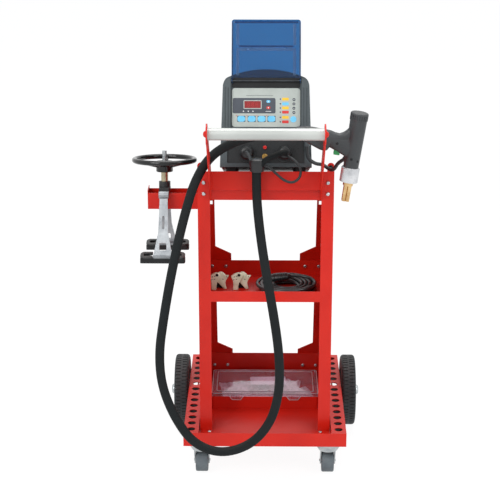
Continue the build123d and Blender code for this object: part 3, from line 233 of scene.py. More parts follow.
def noise_on(group, scale, detail):
    """Noise on Object coordinates, so that a pattern stays where it is on the piece."""
    place = group.nodes.new("ShaderNodeTexCoord").outputs["Object"]
    return add_node(group, "TexNoise", Vector=place, Scale=scale, Detail=detail).outputs["Fac"]


def cloudy_group():
    """Colour that drifts between a light and a dark tone."""
    group, given, result = new_group("cloudy_colour", [("Light", COLOUR, (1, 1, 1, 1)), ("Dark", COLOUR, (0, 0, 0, 1)),
                                                       ("Scale", NUMBER, 6.0)], [("Color", COLOUR)])
    noise = noise_on(group, given["Scale"], 5.0)
    mask = add_node(group, "MapRange", Value=noise, From_Min=0.32, From_Max=0.68).outputs["Result"]
    feed_all(group, result, Color=blend(group, mask, given["Light"], given["Dark"]))
    return group


def dust_group():
    """Pale dust in patches on faces that look up."""
    group, given, result = new_group("settled_dust", [("Color", COLOUR, (1, 1, 1, 1)), ("Dust", COLOUR, DUST_TONE),
                                                      ("Amount", NUMBER, 0.1)], [("Color", COLOUR)])
    facing = add_node(group, "SeparateXYZ", Vector=group.nodes.new("ShaderNodeTexCoord").outputs["Normal"])
    upward = add_node(group, "MapRange", Value=facing.outputs["Z"], From_Min=0.55, From_Max=1.0).outputs["Result"]
    patches = reckon(group, "MULTIPLY", upward, noise_on(group, 14.0, 6.0))
    mask = reckon(group, "MULTIPLY", patches, given["Amount"])
    feed_all(group, result, Color=blend(group, mask, given["Color"], given["Dust"]))
    return group


CLOUDY, DUST = cloudy_group(), dust_group()
print("groups", CLOUDY.name, DUST.name)

# %% [markdown]
# ## Effects that raise the surface
# Grain, streaks and threads change a surface's height as well as its tone, so these groups give a height for the bump
# and a second value for roughness or colour. Paint has fine grain on broad waves, brushed metal the same noise
# stretched along one axis, and a woven sleeve two waves that cross on the cord's own UV.

# %% Node groups for relief


def grain_group():
    """Fine grain on broad waves."""
    group, given, result = new_group("fine_grain", [("Scale", NUMBER, 900.0), ("Waves", NUMBER, 0.3),
                                                    ("Wave Scale", NUMBER, 40.0)],
                                     [("Height", NUMBER), ("Fleck", NUMBER)])
    fine, broad = (noise_on(group, given[title], 2.0) for title in ("Scale", "Wave Scale"))
    feed_all(group, result, Height=reckon(group, "MULTIPLY_ADD", broad, given["Waves"], fine), Fleck=fine)
    return group


def streak_group():
    """Noise that is stretched along X, as a brush leaves it."""
    group, given, result = new_group("brushed_streaks", [("Along X", NUMBER, 4.0), ("Across", NUMBER, 900.0)],
                                     [("Height", NUMBER), ("Fleck", NUMBER)])
    scale = add_node(group, "CombineXYZ", X=given["Along X"], Y=given["Across"], Z=given["Across"])
    stretch = group.nodes.new("ShaderNodeVectorMath")
    stretch.operation = "MULTIPLY"
    feed(group, stretch.inputs[0], group.nodes.new("ShaderNodeTexCoord").outputs["Object"])
    feed(group, stretch.inputs[1], scale.outputs[0])
    noise = add_node(group, "TexNoise", Vector=stretch.outputs[0], Scale=1.0, Detail=3.0).outputs["Fac"]
    feed_all(group, result, Height=noise, Fleck=noise)
    return group


def braid_group():
    """Threads that cross: two waves in opposite turns over a cord's own UV, along it and round it."""
    group, given, result = new_group("braided_sleeve", [("Along", NUMBER, 200.0), ("Around", NUMBER, 12.0)],
                                     [("Height", NUMBER), ("Mask", NUMBER)])
    spot = add_node(group, "SeparateXYZ", Vector=group.nodes.new("ShaderNodeTexCoord").outputs["UV"]).outputs
    along = reckon(group, "MULTIPLY", spot["X"], given["Along"])
    around = reckon(group, "MULTIPLY", spot["Y"], given["Around"])
    threads = [reckon(group, "PINGPONG", reckon(group, lean, along, around), 0.5) for lean in ("ADD", "SUBTRACT")]
    tops = reckon(group, "MULTIPLY", reckon(group, "MULTIPLY", *threads), 4.0)
    feed_all(group, result, Height=tops, Mask=tops)
    return group


GRAIN, STREAKS, BRAID = grain_group(), streak_group(), braid_group()
print("groups", GRAIN.name, STREAKS.name, BRAID.name)

# %% [markdown]
# ## Finishes
# A finish is a principled shader fed by those groups: cloudy colour, then dust, a roughness that varies with the
# grain, and a bump. One function builds them all, so each finish is a short row of real values: two colours that it
# drifts between, how rough it is, and how coarse its grain is.

# %% Build a finish
SHADER = "Principled BSDF"
PLASTIC_IOR = 1.46
finishes = {}


def use_group(tree, group, **sources):
    """Outputs of a node group in a tree, its inputs fed by name."""
    node = tree.nodes.new("ShaderNodeGroup")
    node.node_tree = group
    return feed_all(tree, node, **sources).outputs


def make_finish(name, light, dark, rough, spread=0.08, cloud=7.0, grain=900.0, waves=0.3, wave_scale=40.0, bump=0.05,
                metallic=0.0, dust=0.06, streaks=0.0, coat=0.0, specular=0.5, clear=0.0):
    """Principled material with cloudy colour, dust, grain or brushed streaks, and roughness that follows them.

    Clear plastic lets a share of the light through by plain transmission, its alpha left at one.
    """
    material = bpy.data.materials.new(name)
    material.use_nodes = True
    tree = material.node_tree
    cloudy = use_group(tree, CLOUDY, Light=srgb(*light), Dark=srgb(*dark), Scale=cloud)["Color"]
    if streaks:
        pattern = use_group(tree, STREAKS, Along_X=4.0, Across=streaks)
    else:
        pattern = use_group(tree, GRAIN, Scale=grain, Waves=waves, Wave_Scale=wave_scale)
    roughness = add_node(tree, "MapRange", Value=pattern["Fleck"], From_Min=0.3, From_Max=0.7,
                         To_Min=max(rough - spread, 0.03), To_Max=min(rough + spread, 1.0))
    relief = add_node(tree, "Bump", Strength=bump, Distance=0.001, Height=pattern["Height"])
    feed_all(tree, tree.nodes[SHADER], Base_Color=use_group(tree, DUST, Color=cloudy, Amount=dust)["Color"],
             Roughness=roughness.outputs["Result"], Normal=relief.outputs["Normal"], Metallic=metallic,
             Coat_Weight=coat, Coat_Roughness=0.12, Specular_IOR_Level=specular)
    if clear:
        feed_all(tree, tree.nodes[SHADER], Transmission_Weight=clear, IOR=PLASTIC_IOR)
    finishes[name] = material
    return material


print("finish tools ready")

# %% [markdown]
# ## Finishes of the machine
# Each row is one finish of the real machine, from the red paint of its frame to the clear lid. Colours are given as a
# screen shows them. Rubber and castings are rough and coarse, metals drift between two tones, and the clear plastics
# let most of the light through.

# %% Finishes of the machine
FINISHES = {
    "red_paint": dict(light=(208, 34, 17), dark=(196, 27, 13), rough=0.38, grain=700.0, waves=0.5, wave_scale=55.0,
                      bump=0.06, coat=0.04, specular=0.28, dust=0.02),
    "satin_tube": dict(light=(196, 199, 195), dark=(180, 183, 179), rough=0.42, streaks=700.0, bump=0.04,
                       metallic=0.55, dust=0.02),
    "zinc": dict(light=(194, 198, 199), dark=(158, 164, 167), rough=0.34, cloud=40.0, grain=300.0, bump=0.06,
                 metallic=0.9),
    "bolt_steel": dict(light=(205, 207, 209), dark=(170, 174, 178), rough=0.26, cloud=60.0, grain=500.0,
                       metallic=0.9),
    "tyre": dict(light=(44, 48, 50), dark=(31, 34, 36), rough=0.6, cloud=22.0, grain=420.0, bump=0.3, dust=0.09,
                 specular=0.32),
    "rim_plastic": dict(light=(66, 71, 73), dark=(52, 57, 59), rough=0.55, grain=600.0, bump=0.15),
    "caster_rubber": dict(light=(104, 112, 116), dark=(84, 92, 97), rough=0.6, cloud=30.0, grain=400.0, bump=0.2,
                          dust=0.15),
    "cast_black": dict(light=(40, 42, 43), dark=(28, 29, 30), rough=0.45, cloud=30.0, grain=260.0, bump=0.35),
    "gloss_black": dict(light=(20, 21, 22), dark=(15, 16, 17), rough=0.16, spread=0.04, grain=300.0, waves=0.8,
                        wave_scale=60.0, bump=0.02, coat=0.3, specular=0.3),
    "aluminium": dict(light=(168, 172, 175), dark=(134, 138, 142), rough=0.38, cloud=34.0, grain=420.0, bump=0.2,
                      metallic=0.85),
    "foot_rubber": dict(light=(27, 28, 29), dark=(19, 20, 21), rough=0.6, cloud=30.0, grain=380.0, bump=0.25,
                        dust=0.03, specular=0.3),
    "case_paint": dict(light=(66, 72, 75), dark=(54, 60, 62), rough=0.5, cloud=9.0, grain=520.0, bump=0.32),
    "bezel_plastic": dict(light=(72, 80, 83), dark=(62, 70, 73), rough=0.46, grain=620.0, bump=0.22),
    "black_plastic": dict(light=(32, 34, 36), dark=(22, 24, 26), rough=0.34, cloud=30.0, grain=560.0, bump=0.16),
    "panel_film": dict(light=(180, 186, 180), dark=(168, 174, 168), rough=0.42, cloud=18.0, grain=1100.0, bump=0.06,
                       dust=0.0),
    "display_red": dict(light=(150, 22, 22), dark=(122, 14, 16), rough=0.12, spread=0.03, grain=400.0, bump=0.01,
                        coat=0.4, dust=0.0),
    "brass": dict(light=(206, 168, 98), dark=(176, 136, 70), rough=0.3, cloud=60.0, grain=500.0, metallic=0.95),
    "lamp_red": dict(light=(222, 32, 26), dark=(190, 18, 16), rough=0.14, spread=0.03, coat=0.6, dust=0.0),
    "gun_plastic": dict(light=(53, 56, 58), dark=(43, 46, 48), rough=0.44, cloud=16.0, grain=640.0, bump=0.25),
    "copper": dict(light=(226, 194, 144), dark=(190, 150, 102), rough=0.28, cloud=45.0, grain=300.0, bump=0.12,
                   metallic=0.95),
    "trigger_green": dict(light=(44, 156, 84), dark=(34, 134, 70), rough=0.36, cloud=30.0, grain=500.0),
    "cord_rubber": dict(light=(43, 47, 49), dark=(30, 33, 35), rough=0.58, cloud=20.0, grain=480.0, bump=0.3),
    "case_red": dict(light=(200, 32, 18), dark=(186, 25, 14), rough=0.34, grain=500.0, bump=0.1, specular=0.3,
                     dust=0.02),
    "cast_cream": dict(light=(228, 230, 206), dark=(198, 198, 170), rough=0.46, cloud=38.0, grain=240.0, bump=0.5,
                       metallic=0.12),
    "dark_steel": dict(light=(58, 61, 64), dark=(40, 42, 45), rough=0.36, cloud=60.0, grain=500.0, metallic=0.7),
    "warm_zinc": dict(light=(190, 180, 152), dark=(152, 142, 118), rough=0.3, cloud=50.0, grain=400.0, metallic=0.9),
    "bright_alloy": dict(light=(214, 215, 217), dark=(184, 186, 189), rough=0.34, cloud=34.0, grain=420.0, bump=0.12,
                         metallic=0.8),
    "core_steel": dict(light=(98, 92, 84), dark=(74, 70, 64), rough=0.5, cloud=20.0, grain=300.0, metallic=0.5),
    "board_green": dict(light=(34, 100, 62), dark=(26, 84, 52), rough=0.4, cloud=30.0, grain=500.0),
    "lid_clear": dict(light=(255, 238, 250), dark=(253, 233, 247), rough=0.04, spread=0.02, grain=90.0, waves=0.9,
                      wave_scale=14.0, bump=0.02, dust=0.0, clear=0.93),
    "cover_blue": dict(light=(36, 106, 167), dark=(30, 96, 156), rough=0.1, spread=0.03, cloud=5.0, grain=60.0,
                       bump=0.01, dust=0.0, specular=0.3, clear=0.9),
}
for name, values in FINISHES.items():
    make_finish(name, **values)
print("finishes", len(finishes))

# %% [markdown]
# ## Finish of each solid
# Every piece of the construction names its finish in the record, so one loop dresses them all. Four small pieces look
# different in the photograph from the others of their kind, and get a finish of their own.

# %% Finish the construction
FINISH_BY_NODE = {part["node"]: part["material_slot"] for part in frame["record"]["subparts"]}
FINISH_BY_NODE.update(cover_hinge_pin="dark_steel", puller_sleeve="warm_zinc", gun_collar="bright_alloy",
                      power_switch="gloss_black")
for name, finish in FINISH_BY_NODE.items():
    for place in nodes[name].material_slots:
        place.material = finishes[finish]
print("construction", len(FINISH_BY_NODE), "nodes")

# %% [markdown]
# ## Tools for cords
# A cord could be a chain of cylinders, but a curve with a round section bends smoothly and has a length that can be
# measured. The hose wears a woven sleeve, so its finish takes the braid group, which raises the threads and lightens
# their tops.

# %% Cord tools


def millimetres(points):
    """Points given in millimetres, as vectors in metres."""
    return [Vector(p) / 1000.0 for p in points]


def cord_curve(name, points, radius, finish):
    """Free cord as one smooth spline with a round section, riding on the trolley."""
    data = bpy.data.curves.new(name, "CURVE")
    data.dimensions = "3D"
    data.bevel_depth = radius
    data.bevel_resolution = 6
    data.resolution_u = 8
    data.use_fill_caps = True
    spline = data.splines.new("NURBS")
    spline.points.add(len(points) - 1)
    for spot, place in zip(spline.points, points):
        spot.co = (place.x, place.y, place.z, 1.0)
    spline.order_u = 3
    spline.use_endpoint_u = True
    cord = bpy.data.objects.new(name, data)
    bpy.context.collection.objects.link(cord)
    data.materials.append(finishes[finish])
    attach(cord, "trolley")
    return cord


def hang_cord(name, route, radius, finish):
    """Cord as one smooth curve through its route."""
    cord = cord_curve(name, route, radius, finish)
    return cord


def sleeve_finish(name, light, dark, along, around, pale):
    """Woven sleeve: the braid's threads raise the surface and lighten their tops."""
    tree = make_finish(name, light, dark, 0.82, cloud=26.0, bump=0.5, dust=0.1, specular=0.25).node_tree
    braid = use_group(tree, BRAID, Along=along, Around=around)
    dusty = tree.nodes[SHADER].inputs["Base Color"].links[0].from_socket
    feed_all(tree, tree.nodes[SHADER], Base_Color=blend(tree, braid["Mask"], dusty, srgb(*pale)))
    relief = [node for node in tree.nodes if node.type == "BUMP"][0]
    feed_all(tree, relief, Height=braid["Height"])


sleeve_finish("hose_sleeve", (18, 22, 23), (13, 16, 17), 520.0, 18.0, (32, 38, 39))
print("cord tools ready")

# %% [markdown]
# ## Cords
# The heavy hose leaves the plugs, hangs in one long bow in front of the trolley and comes up over the left handle
# bracket to the gun. A thin cable links the gun to the welder, a short one loops from the panel to the plugs, and the
# earth lead lies wound on the shelf. Each is one smooth curve through the places where the real one hangs.

# %% Hose, side cable and loop
HOSE_ROUTE = millimetres([
    (-28, -302, 1032), (-28, -302, 988), (-26, -326, 928), (-14, -370, 832), (4, -404, 726), (26, -430, 610),
    (43, -447, 490), (45, -458, 380), (20, -462, 275), (-42, -463, 197), (-135, -463, 166), (-220, -462, 200),
    (-276, -460, 285), (-315, -456, 390), (-322, -447, 495), (-307, -434, 600), (-286, -415, 720), (-260, -390, 840),
    (-236, -362, 932), (-211, -336, 1008), (-169, -318, 1075), (-108, -341, 1122), (-42, -376, 1153),
    (32.40, -402.5, 1167.40), (90.21, -402.5, 1172.02),
])
SIDE_ROUTE = millimetres([
    (124, -248, 1092), (124, -248, 1068), (132, -255, 1050), (152, -264, 1040), (172, -272, 1041), (189, -291, 1032),
    (203, -323, 1036), (214.04, -362.80, 1073.09), (231.41, -380.17, 1086.54),
])
LOOP_ROUTE = millimetres([
    (56, -272, 1070), (72, -292, 1069), (92, -308, 1058), (106, -315, 1036), (102, -318, 1010), (80, -319, 995),
    (54, -318, 1003), (33, -315, 1022), (12, -309, 1040), (-8, -304, 1050),
])
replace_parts(hang_cord("gun_hose_cord", HOSE_ROUTE, 0.014, "hose_sleeve"), "gun_hose")
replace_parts(hang_cord("gun_side_cable_cord", SIDE_ROUTE, 0.0055, "cord_rubber"), "gun_side_cable")
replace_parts(hang_cord("control_cable_loop_cord", LOOP_ROUTE, 0.004, "cord_rubber"), "control_cable_loop")
print("cords", len(HOSE_ROUTE), len(SIDE_ROUTE), len(LOOP_ROUTE), "points")

# %% [markdown]
# ## Earth lead
# The lead is wound flat in two layers: in towards the middle, up one thickness, out again over the first layer, then
# its end climbs over the coil to a plug. The turns come from a formula, so the coil has its true length.

# %% Wound earth lead
LEAD_RADIUS = 0.0055
COIL_MIDDLE = Vector((0.068, -0.150, 0.6017))
COIL_OUTER, COIL_TURNS, COIL_START = 0.094, 4, math.radians(-40)
TURN_STEP, LAYER_STEP = 0.0134, 0.0122
LAST_TURN, POINTS_A_TURN, NUDGE = 2 * COIL_TURNS + 1.0, 16, 0.0005
TAIL_RADIUS, TAIL_TURN, TAIL_RISE, TAIL_STEPS = 0.052, math.radians(150), 0.0078, 7
STRAIGHT_END = 0.011


def ease(share):
    """Climb from 0 to 1 with a soft start and a soft end."""
    return (1 - math.cos(math.pi * min(max(share, 0.0), 1.0))) / 2


def coil_point(turn):
    """Point of the coil after so many turns: in on the first layer, out on the second."""
    if turn < COIL_TURNS:
        reach = COIL_OUTER - turn * TURN_STEP
    else:
        reach = COIL_OUTER - COIL_TURNS * TURN_STEP + max(turn - COIL_TURNS - 0.5, 0.0) * TURN_STEP
    level = ease((turn - COIL_TURNS) / 0.5) + ease((turn - 2 * COIL_TURNS - 0.5) / 0.5)
    angle = 2 * math.pi * turn + COIL_START
    return COIL_MIDDLE + Vector((reach * math.cos(angle), reach * math.sin(angle), level * LAYER_STEP))


def coil_heading(turn):
    """Level direction in which the lead runs there."""
    step = coil_point(turn + NUDGE) - coil_point(turn - NUDGE)
    return Vector((step.x, step.y, 0.0)).normalized()


wound = [coil_point(i / POINTS_A_TURN) for i in range(int(LAST_TURN * POINTS_A_TURN) + 1)]
ahead, leaving = coil_heading(LAST_TURN), coil_heading(0.0)
inward = Vector((-ahead.y, ahead.x, 0.0))
hub = wound[-1] + inward * TAIL_RADIUS
for i in range(1, TAIL_STEPS + 1):
    turn = TAIL_TURN * i / TAIL_STEPS
    lift = Vector((0, 0, TAIL_RISE * ease(i / TAIL_STEPS)))
    wound.append(hub - inward * TAIL_RADIUS * math.cos(turn) + ahead * TAIL_RADIUS * math.sin(turn) + lift)
plug_aim = (ahead * math.cos(TAIL_TURN) + inward * math.sin(TAIL_TURN)).normalized()
wound = [wound[0] - leaving * STRAIGHT_END] + wound + [wound[-1] + plug_aim * STRAIGHT_END]
make_finish("lead_sheath", (50, 53, 55), (36, 39, 41), 0.34, cloud=30.0, grain=420.0, bump=0.12, dust=0.05)
earth_lead = cord_curve("earth_lead_cord", wound, LEAD_RADIUS, "lead_sheath")
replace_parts(earth_lead, "earth_lead_coil")
print("earth lead", len(wound), "points")

# %% [markdown]
# ## Places of the small pieces
# A small piece is modelled flat at the origin and then moved. Its place is kept in its mesh, so that its object stays
# at the origin and can move with its body. A place is a shift and some turns, multiplied.

# %% Places
SIDES = (-1, 1)


def shift(x, y, z):
    """Place at a point, in metres."""
    return Matrix.Translation((x, y, z))


def turn_by(degrees, axis):
    """Turn about an axis."""
    return Matrix.Rotation(math.radians(degrees), 4, axis)


# A plate stands up and faces the front; the welder's platform leans back.
UPRIGHT = turn_by(90, "X")
DECK = shift(0.0, -0.264, 1.016) @ turn_by(-18.0, "X")


def pick(piece):
    """Select one piece alone and make it active."""
    bpy.ops.object.select_all(action="DESELECT")
    piece.select_set(True)
    bpy.context.view_layer.objects.active = piece


def put(piece, place):
    """Move a finished piece to its place, and keep that place in its mesh."""
    pick(piece)
    piece.matrix_world = place
    bpy.ops.object.transform_apply(location=True, rotation=True, scale=True)
    return piece


print("places ready")

# %% [markdown]
# ## Copies and joins
# What repeats is modelled once and copied to its places. Parts with the same finish are then joined into one piece,
# so that the outliner stays short, and the piece gets its finish and the body that it rides on.

# %% Copies and joins


def copies(piece, places):
    """One copy of a piece, with its own mesh, at each place; the first piece goes to the first place."""
    made = []
    for place in places[1:]:
        twin = piece.copy()
        twin.data = piece.data.copy()
        bpy.context.collection.objects.link(twin)
        made.append(put(twin, place))
    return [put(piece, places[0])] + made


def join_all(parts, name):
    """Join parts of one finish into one piece."""
    pick(parts[0])
    for part in parts:
        part.select_set(True)
    if len(parts) > 1:
        bpy.ops.object.join()
    parts[0].name = name
    parts[0].data.name = name
    return parts[0]


def dress(name, parts, finish, body="trolley"):
    """Join parts into one piece, and give it its finish and the body that it rides on."""
    piece = join_all(parts, name)
    piece.data.materials.clear()
    piece.data.materials.append(finishes[finish])
    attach(piece, body)
    return piece


print("joins ready")

# %% [markdown]
# ## Shapes of the small pieces
# Most trim on this machine is a thin rounded plate that lies on a face: a key, a label or a strip. A bevelled cube
# would be round on all its edges, so a plate starts as a plane instead. Its corners are bevelled, it is extruded, and
# its face is inset and raised a little. Opening a new primitive, extruding and closing come back in every shape.

# %% Rounded plates


def open_mesh(name):
    """Name the new primitive and open it in edit mode, all selected."""
    piece = bpy.context.object
    piece.name = name
    bpy.ops.object.mode_set(mode="EDIT")
    bpy.ops.mesh.select_all(action="SELECT")
    return piece


def pull(x, y, z):
    """Extrude what is selected by a step."""
    bpy.ops.mesh.extrude_region_move(TRANSFORM_OT_translate={"value": (x, y, z)})


def close_mesh(smooth=None):
    """Turn all faces outwards and leave edit mode; edges below an angle in degrees are smoothed."""
    bpy.ops.mesh.select_all(action="SELECT")
    bpy.ops.mesh.normals_make_consistent(inside=False)
    bpy.ops.object.mode_set(mode="OBJECT")
    if smooth:
        bpy.ops.object.shade_smooth_by_angle(angle=math.radians(smooth))


def rounded_sheet(name, width, height, corner, segments):
    """Flat sheet with rounded corners, left open in edit mode."""
    bpy.ops.object.select_all(action="DESELECT")
    bpy.ops.mesh.primitive_plane_add(size=1.0)
    piece = open_mesh(name)
    bpy.ops.transform.resize(value=(width, height, 1.0))
    bpy.ops.mesh.bevel(offset=corner, segments=segments, affect="VERTICES")
    return piece


def rounded_plate(name, width, height, corner, thick, segments=4):
    """Plate with rounded corners, from z = 0 up to its thickness, with a small bevel round its face."""
    piece = rounded_sheet(name, width, height, corner, segments)
    pull(0.0, 0.0, thick)
    bpy.ops.mesh.inset(thickness=thick * 0.5, depth=0.0)
    bpy.ops.transform.translate(value=(0.0, 0.0, thick * 0.15))
    close_mesh()
    return piece


print("plates ready")

# %% [markdown]
# ## Control panel
# The panel is a printed membrane: a dark band with the display and two arrow keys, a row of four light blue keys, and
# a column of coloured mode labels with small lamps. Every sealed key stands a fraction of a millimetre proud. Places
# are measured in millimetres from the panel's middle line and from the platform under the welder.

# %% Band and keys
PANEL_FACE = 0.0255
KEY_XS, KEY_ROW = (-75.4, -43.7, -13.5, 16.7), 161.5
DOT_ROW, DOT_LEFT = 172.0, 14.5
ARROW_KEY_X, UP_KEY_Z, DOWN_KEY_Z = 7.1, 214.5, 195.5
make_finish("key_blue", (122, 205, 240), (104, 190, 230), 0.35, cloud=30.0, grain=900.0, bump=0.05, dust=0.0)
make_finish("band_grey", (74, 79, 88), (64, 69, 78), 0.38, cloud=20.0, grain=900.0, bump=0.05, dust=0.0)
for name, light, dark in (("print_yellow", (240, 196, 60), (228, 182, 48)),
                          ("print_red", (212, 58, 52), (198, 46, 42)),
                          ("print_white", (238, 240, 240), (228, 230, 230)),
                          ("print_dark", (52, 58, 66), (44, 50, 58))):
    make_finish(name, light, dark, 0.4, cloud=30.0, dust=0.0)


def panel_place(x, z, lift):
    """Upright place on the panel, in millimetres; lift is how far it stands off the face."""
    return DECK @ shift(x / 1000, PANEL_FACE - lift / 1000, z / 1000) @ UPRIGHT


def on_panel(name, spots, width, height, corner, thick, lift=0.0):
    """The same rounded plate at each spot (x, z) of the panel, all in millimetres."""
    plate = rounded_plate(name, width / 1000, height / 1000, corner / 1000, thick / 1000)
    return copies(plate, [panel_place(x, z, lift) for x, z in spots])


key_spots = [(x, KEY_ROW) for x in KEY_XS]
dress("display_band", on_panel("band", [(-36.5, 201.7)], 131.0, 46.8, 5.0, 0.25), "band_grey")
beds = on_panel("bed", key_spots, 24.5, 18.5, 0.8, 0.3)
keys = on_panel("key", key_spots, 23.4, 17.6, 6.5, 0.5, 0.3)
keys += on_panel("key_up", [(ARROW_KEY_X, UP_KEY_Z)], 12.0, 8.0, 3.9, 0.7, 0.25)
keys += on_panel("key_round", [(83.4, 160.5)], 19.0, 19.0, 9.4, 0.7)
dress("blue_keys", keys, "key_blue")
down_key = on_panel("key_down", [(ARROW_KEY_X, DOWN_KEY_Z)], 12.0, 8.0, 3.9, 0.7, 0.25)
dress("down_key", down_key, "print_red")
dress("key_beds", beds, "print_dark")
dots = on_panel("dot", [(x - DOT_LEFT, DOT_ROW) for x in KEY_XS], 2.6, 2.6, 1.25, 0.4)
dress("key_dots", dots, "print_red")
dress("header_line", on_panel("line", [(-20.0, 232.5)], 82.0, 0.9, 0.4, 0.15), "print_dark")
print("keys", len(keys) + 1, "dots", len(dots))

# %% [markdown]
# ## Prints of the panel
# The mode labels stand in a column, in three colours, each with a small dark lamp beside it, and four round marks
# follow on the right. White triangles and strips mark the keys. A picture on the panel could show all this, but thin
# plates keep crisp edges at any distance.

# %% Arrows, labels and lamps
MARK_ROW, LABEL_X, LABEL_LAMP_X = 184.5, 59.0, 43.6
LABELS = ((221.9, "yellow"), (207.6, "blue"), (194.9, "yellow"), (182.2, "red"), (166.3, "yellow"), (152.6, "red"))
ROUND_SPOTS = [(85.0, z) for z in (220.3, 207.3, 194.2, 181.2)]


def arrow_on_panel(x, z, size, up, lift):
    """Small triangle on the panel, from a three-cornered circle."""
    bpy.ops.object.select_all(action="DESELECT")
    bpy.ops.mesh.primitive_circle_add(vertices=3, radius=size / 1000, fill_type="NGON")
    piece = open_mesh("arrow")
    bpy.ops.mesh.bevel(offset=size / 8000, segments=2, affect="VERTICES")
    pull(0.0, 0.0, 0.00012)
    close_mesh()
    return put(piece, panel_place(x, z, lift) @ turn_by(0 if up else 180, "Z"))


arrows = [arrow_on_panel(ARROW_KEY_X, z, 2.6, up, 1.06) for z, up in ((214.2, True), (195.8, False))]
arrows += [arrow_on_panel(x, MARK_ROW, 2.8, up, 0.28) for x, up in ((-69.0, True), (-54.0, False), (-40.0, True))]
dress("arrows", arrows, "print_white")
for colour, finish in (("yellow", "print_yellow"), ("blue", "key_blue"), ("red", "print_red")):
    spots = [(LABEL_X, z) for z, label_colour in LABELS if label_colour == colour]
    dress("labels_" + colour, on_panel("label", spots, 20.0, 8.6, 1.6, 0.2), finish)
rounds = on_panel("round", ROUND_SPOTS, 9.0, 9.0, 4.4, 0.2)
rounds += on_panel("lamp", [(LABEL_LAMP_X, z) for z, colour in LABELS], 4.2, 4.2, 2.0, 0.5)
dress("lamp_rounds", rounds, "print_dark")
marks = on_panel("mark", [(ARROW_KEY_X, MARK_ROW)], 17.0, 1.2, 0.4, 0.12, 0.28)
marks += on_panel("mark", ROUND_SPOTS, 4.0, 1.2, 0.4, 0.12, 0.25)
dress("white_marks", marks, "print_white")
print("arrows", len(arrows), "labels", len(LABELS), "rounds", len(rounds), "marks", len(marks))

# %% [markdown]
# ## Display
# Behind a red window, a display has three places of seven bars each. It is off, so its bars show only as a slightly
# paler red with a faint painted glow. A pale frame stands round the window.

# %% Display bars
WINDOW_X, WINDOW_Z = -41.0, 205.0
FIRST_DIGIT_X, DIGIT_STEP = -54.0, 13.0
LEVEL_BARS = ((0.0, 5.0), (0.0, -5.0), (0.0, 0.0))
UPRIGHT_BARS = ((3.0, 2.5), (3.0, -2.5), (-3.0, -2.5), (-3.0, 2.5))
glow_red = bpy.data.materials.new("glow_red")
glow_red.use_nodes = True
finishes["glow_red"] = glow_red
tree = glow_red.node_tree
tint = use_group(tree, CLOUDY, Light=srgb(168, 30, 28), Dark=srgb(156, 24, 24), Scale=200.0)["Color"]
# The bars glow faintly although the display is off: a painted glow.
feed_all(tree, tree.nodes[SHADER], Emission_Color=tint, Base_Color=tint, Emission_Strength=0.05)
window = on_panel("window", [(WINDOW_X, WINDOW_Z)], 50.0, 21.0, 1.2, 0.22, 0.27)
dress("display_face", window, "display_red")
bars = []
for spots, wide, tall in ((LEVEL_BARS, 4.8, 1.3), (UPRIGHT_BARS, 1.3, 4.0)):
    spots = [(FIRST_DIGIT_X + DIGIT_STEP * digit + x, WINDOW_Z + z) for digit in range(3) for x, z in spots]
    bars += on_panel("bar", spots, wide, tall, 0.5, 0.1, 0.52)
dress("display_bars", bars, "glow_red")
rims = on_panel("rim", [(WINDOW_X, WINDOW_Z + side * 12.0) for side in SIDES], 54.0, 2.4, 0.8, 0.5, 0.25)
rims += on_panel("rim", [(WINDOW_X + side * 26.4, WINDOW_Z) for side in SIDES], 2.4, 24.0, 0.8, 0.5, 0.25)
dress("display_frame", rims, "panel_film")
print("display", len(bars), "bars")

# %% [markdown]
# ## Power plugs
# Two heavy plugs sit in the sockets below the panel. Each has a ribbed grip and a lock ring, and a boot stands at the
# top of the hose. All are round about an axis, so they are made as on a lathe: a filled circle is extruded step by
# step, each step scaled to the next radius. The boot is then widened into an oval.

# %% Plugs and boot
SOCKET_XS, SOCKET_Z = (-58, 58), 56
HOSE_TOP = shift(-0.027, -0.302, 1.026)
OUT = (DECK.to_3x3() @ Vector((0.0, -1.0, 0.0))).normalized()


def turned(name, steps, sides=32):
    """Turned piece along Z from a list of (radius, height) steps."""
    bpy.ops.object.select_all(action="DESELECT")
    radius, height = steps[0]
    bpy.ops.mesh.primitive_circle_add(vertices=sides, radius=radius, fill_type="NGON", location=(0.0, 0.0, height))
    bpy.ops.object.transform_apply(location=True, rotation=True, scale=True)
    piece = open_mesh(name)
    for new_radius, new_height in steps[1:]:
        pull(0.0, 0.0, new_height - height)
        grow = new_radius / radius
        bpy.ops.transform.resize(value=(grow, grow, 1.0), center_override=(0.0, 0.0, new_height))
        radius, height = new_radius, new_height
    close_mesh(smooth=35)
    return piece


def aim_along(start, direction):
    """Place for a turned piece: its foot at a point, its axis along a direction."""
    turn = Vector(direction).normalized().to_track_quat("Z", "Y").to_matrix().to_4x4()
    return Matrix.Translation(start) @ turn


def at_sockets(y):
    """Places on the axes of both sockets; y in millimetres, in the platform's own frame."""
    return [aim_along(DECK @ Vector((x / 1000, y / 1000, SOCKET_Z / 1000)), OUT) for x in SOCKET_XS]


def ring_steps(start, pitch, groove, crest, rises):
    """Five rings of a turned outline; each has two corners in its groove and two on its crest."""
    return [(radius, start + pitch * i + rise) for i in range(5)
            for radius, rise in zip((groove, groove, crest, crest), rises)]


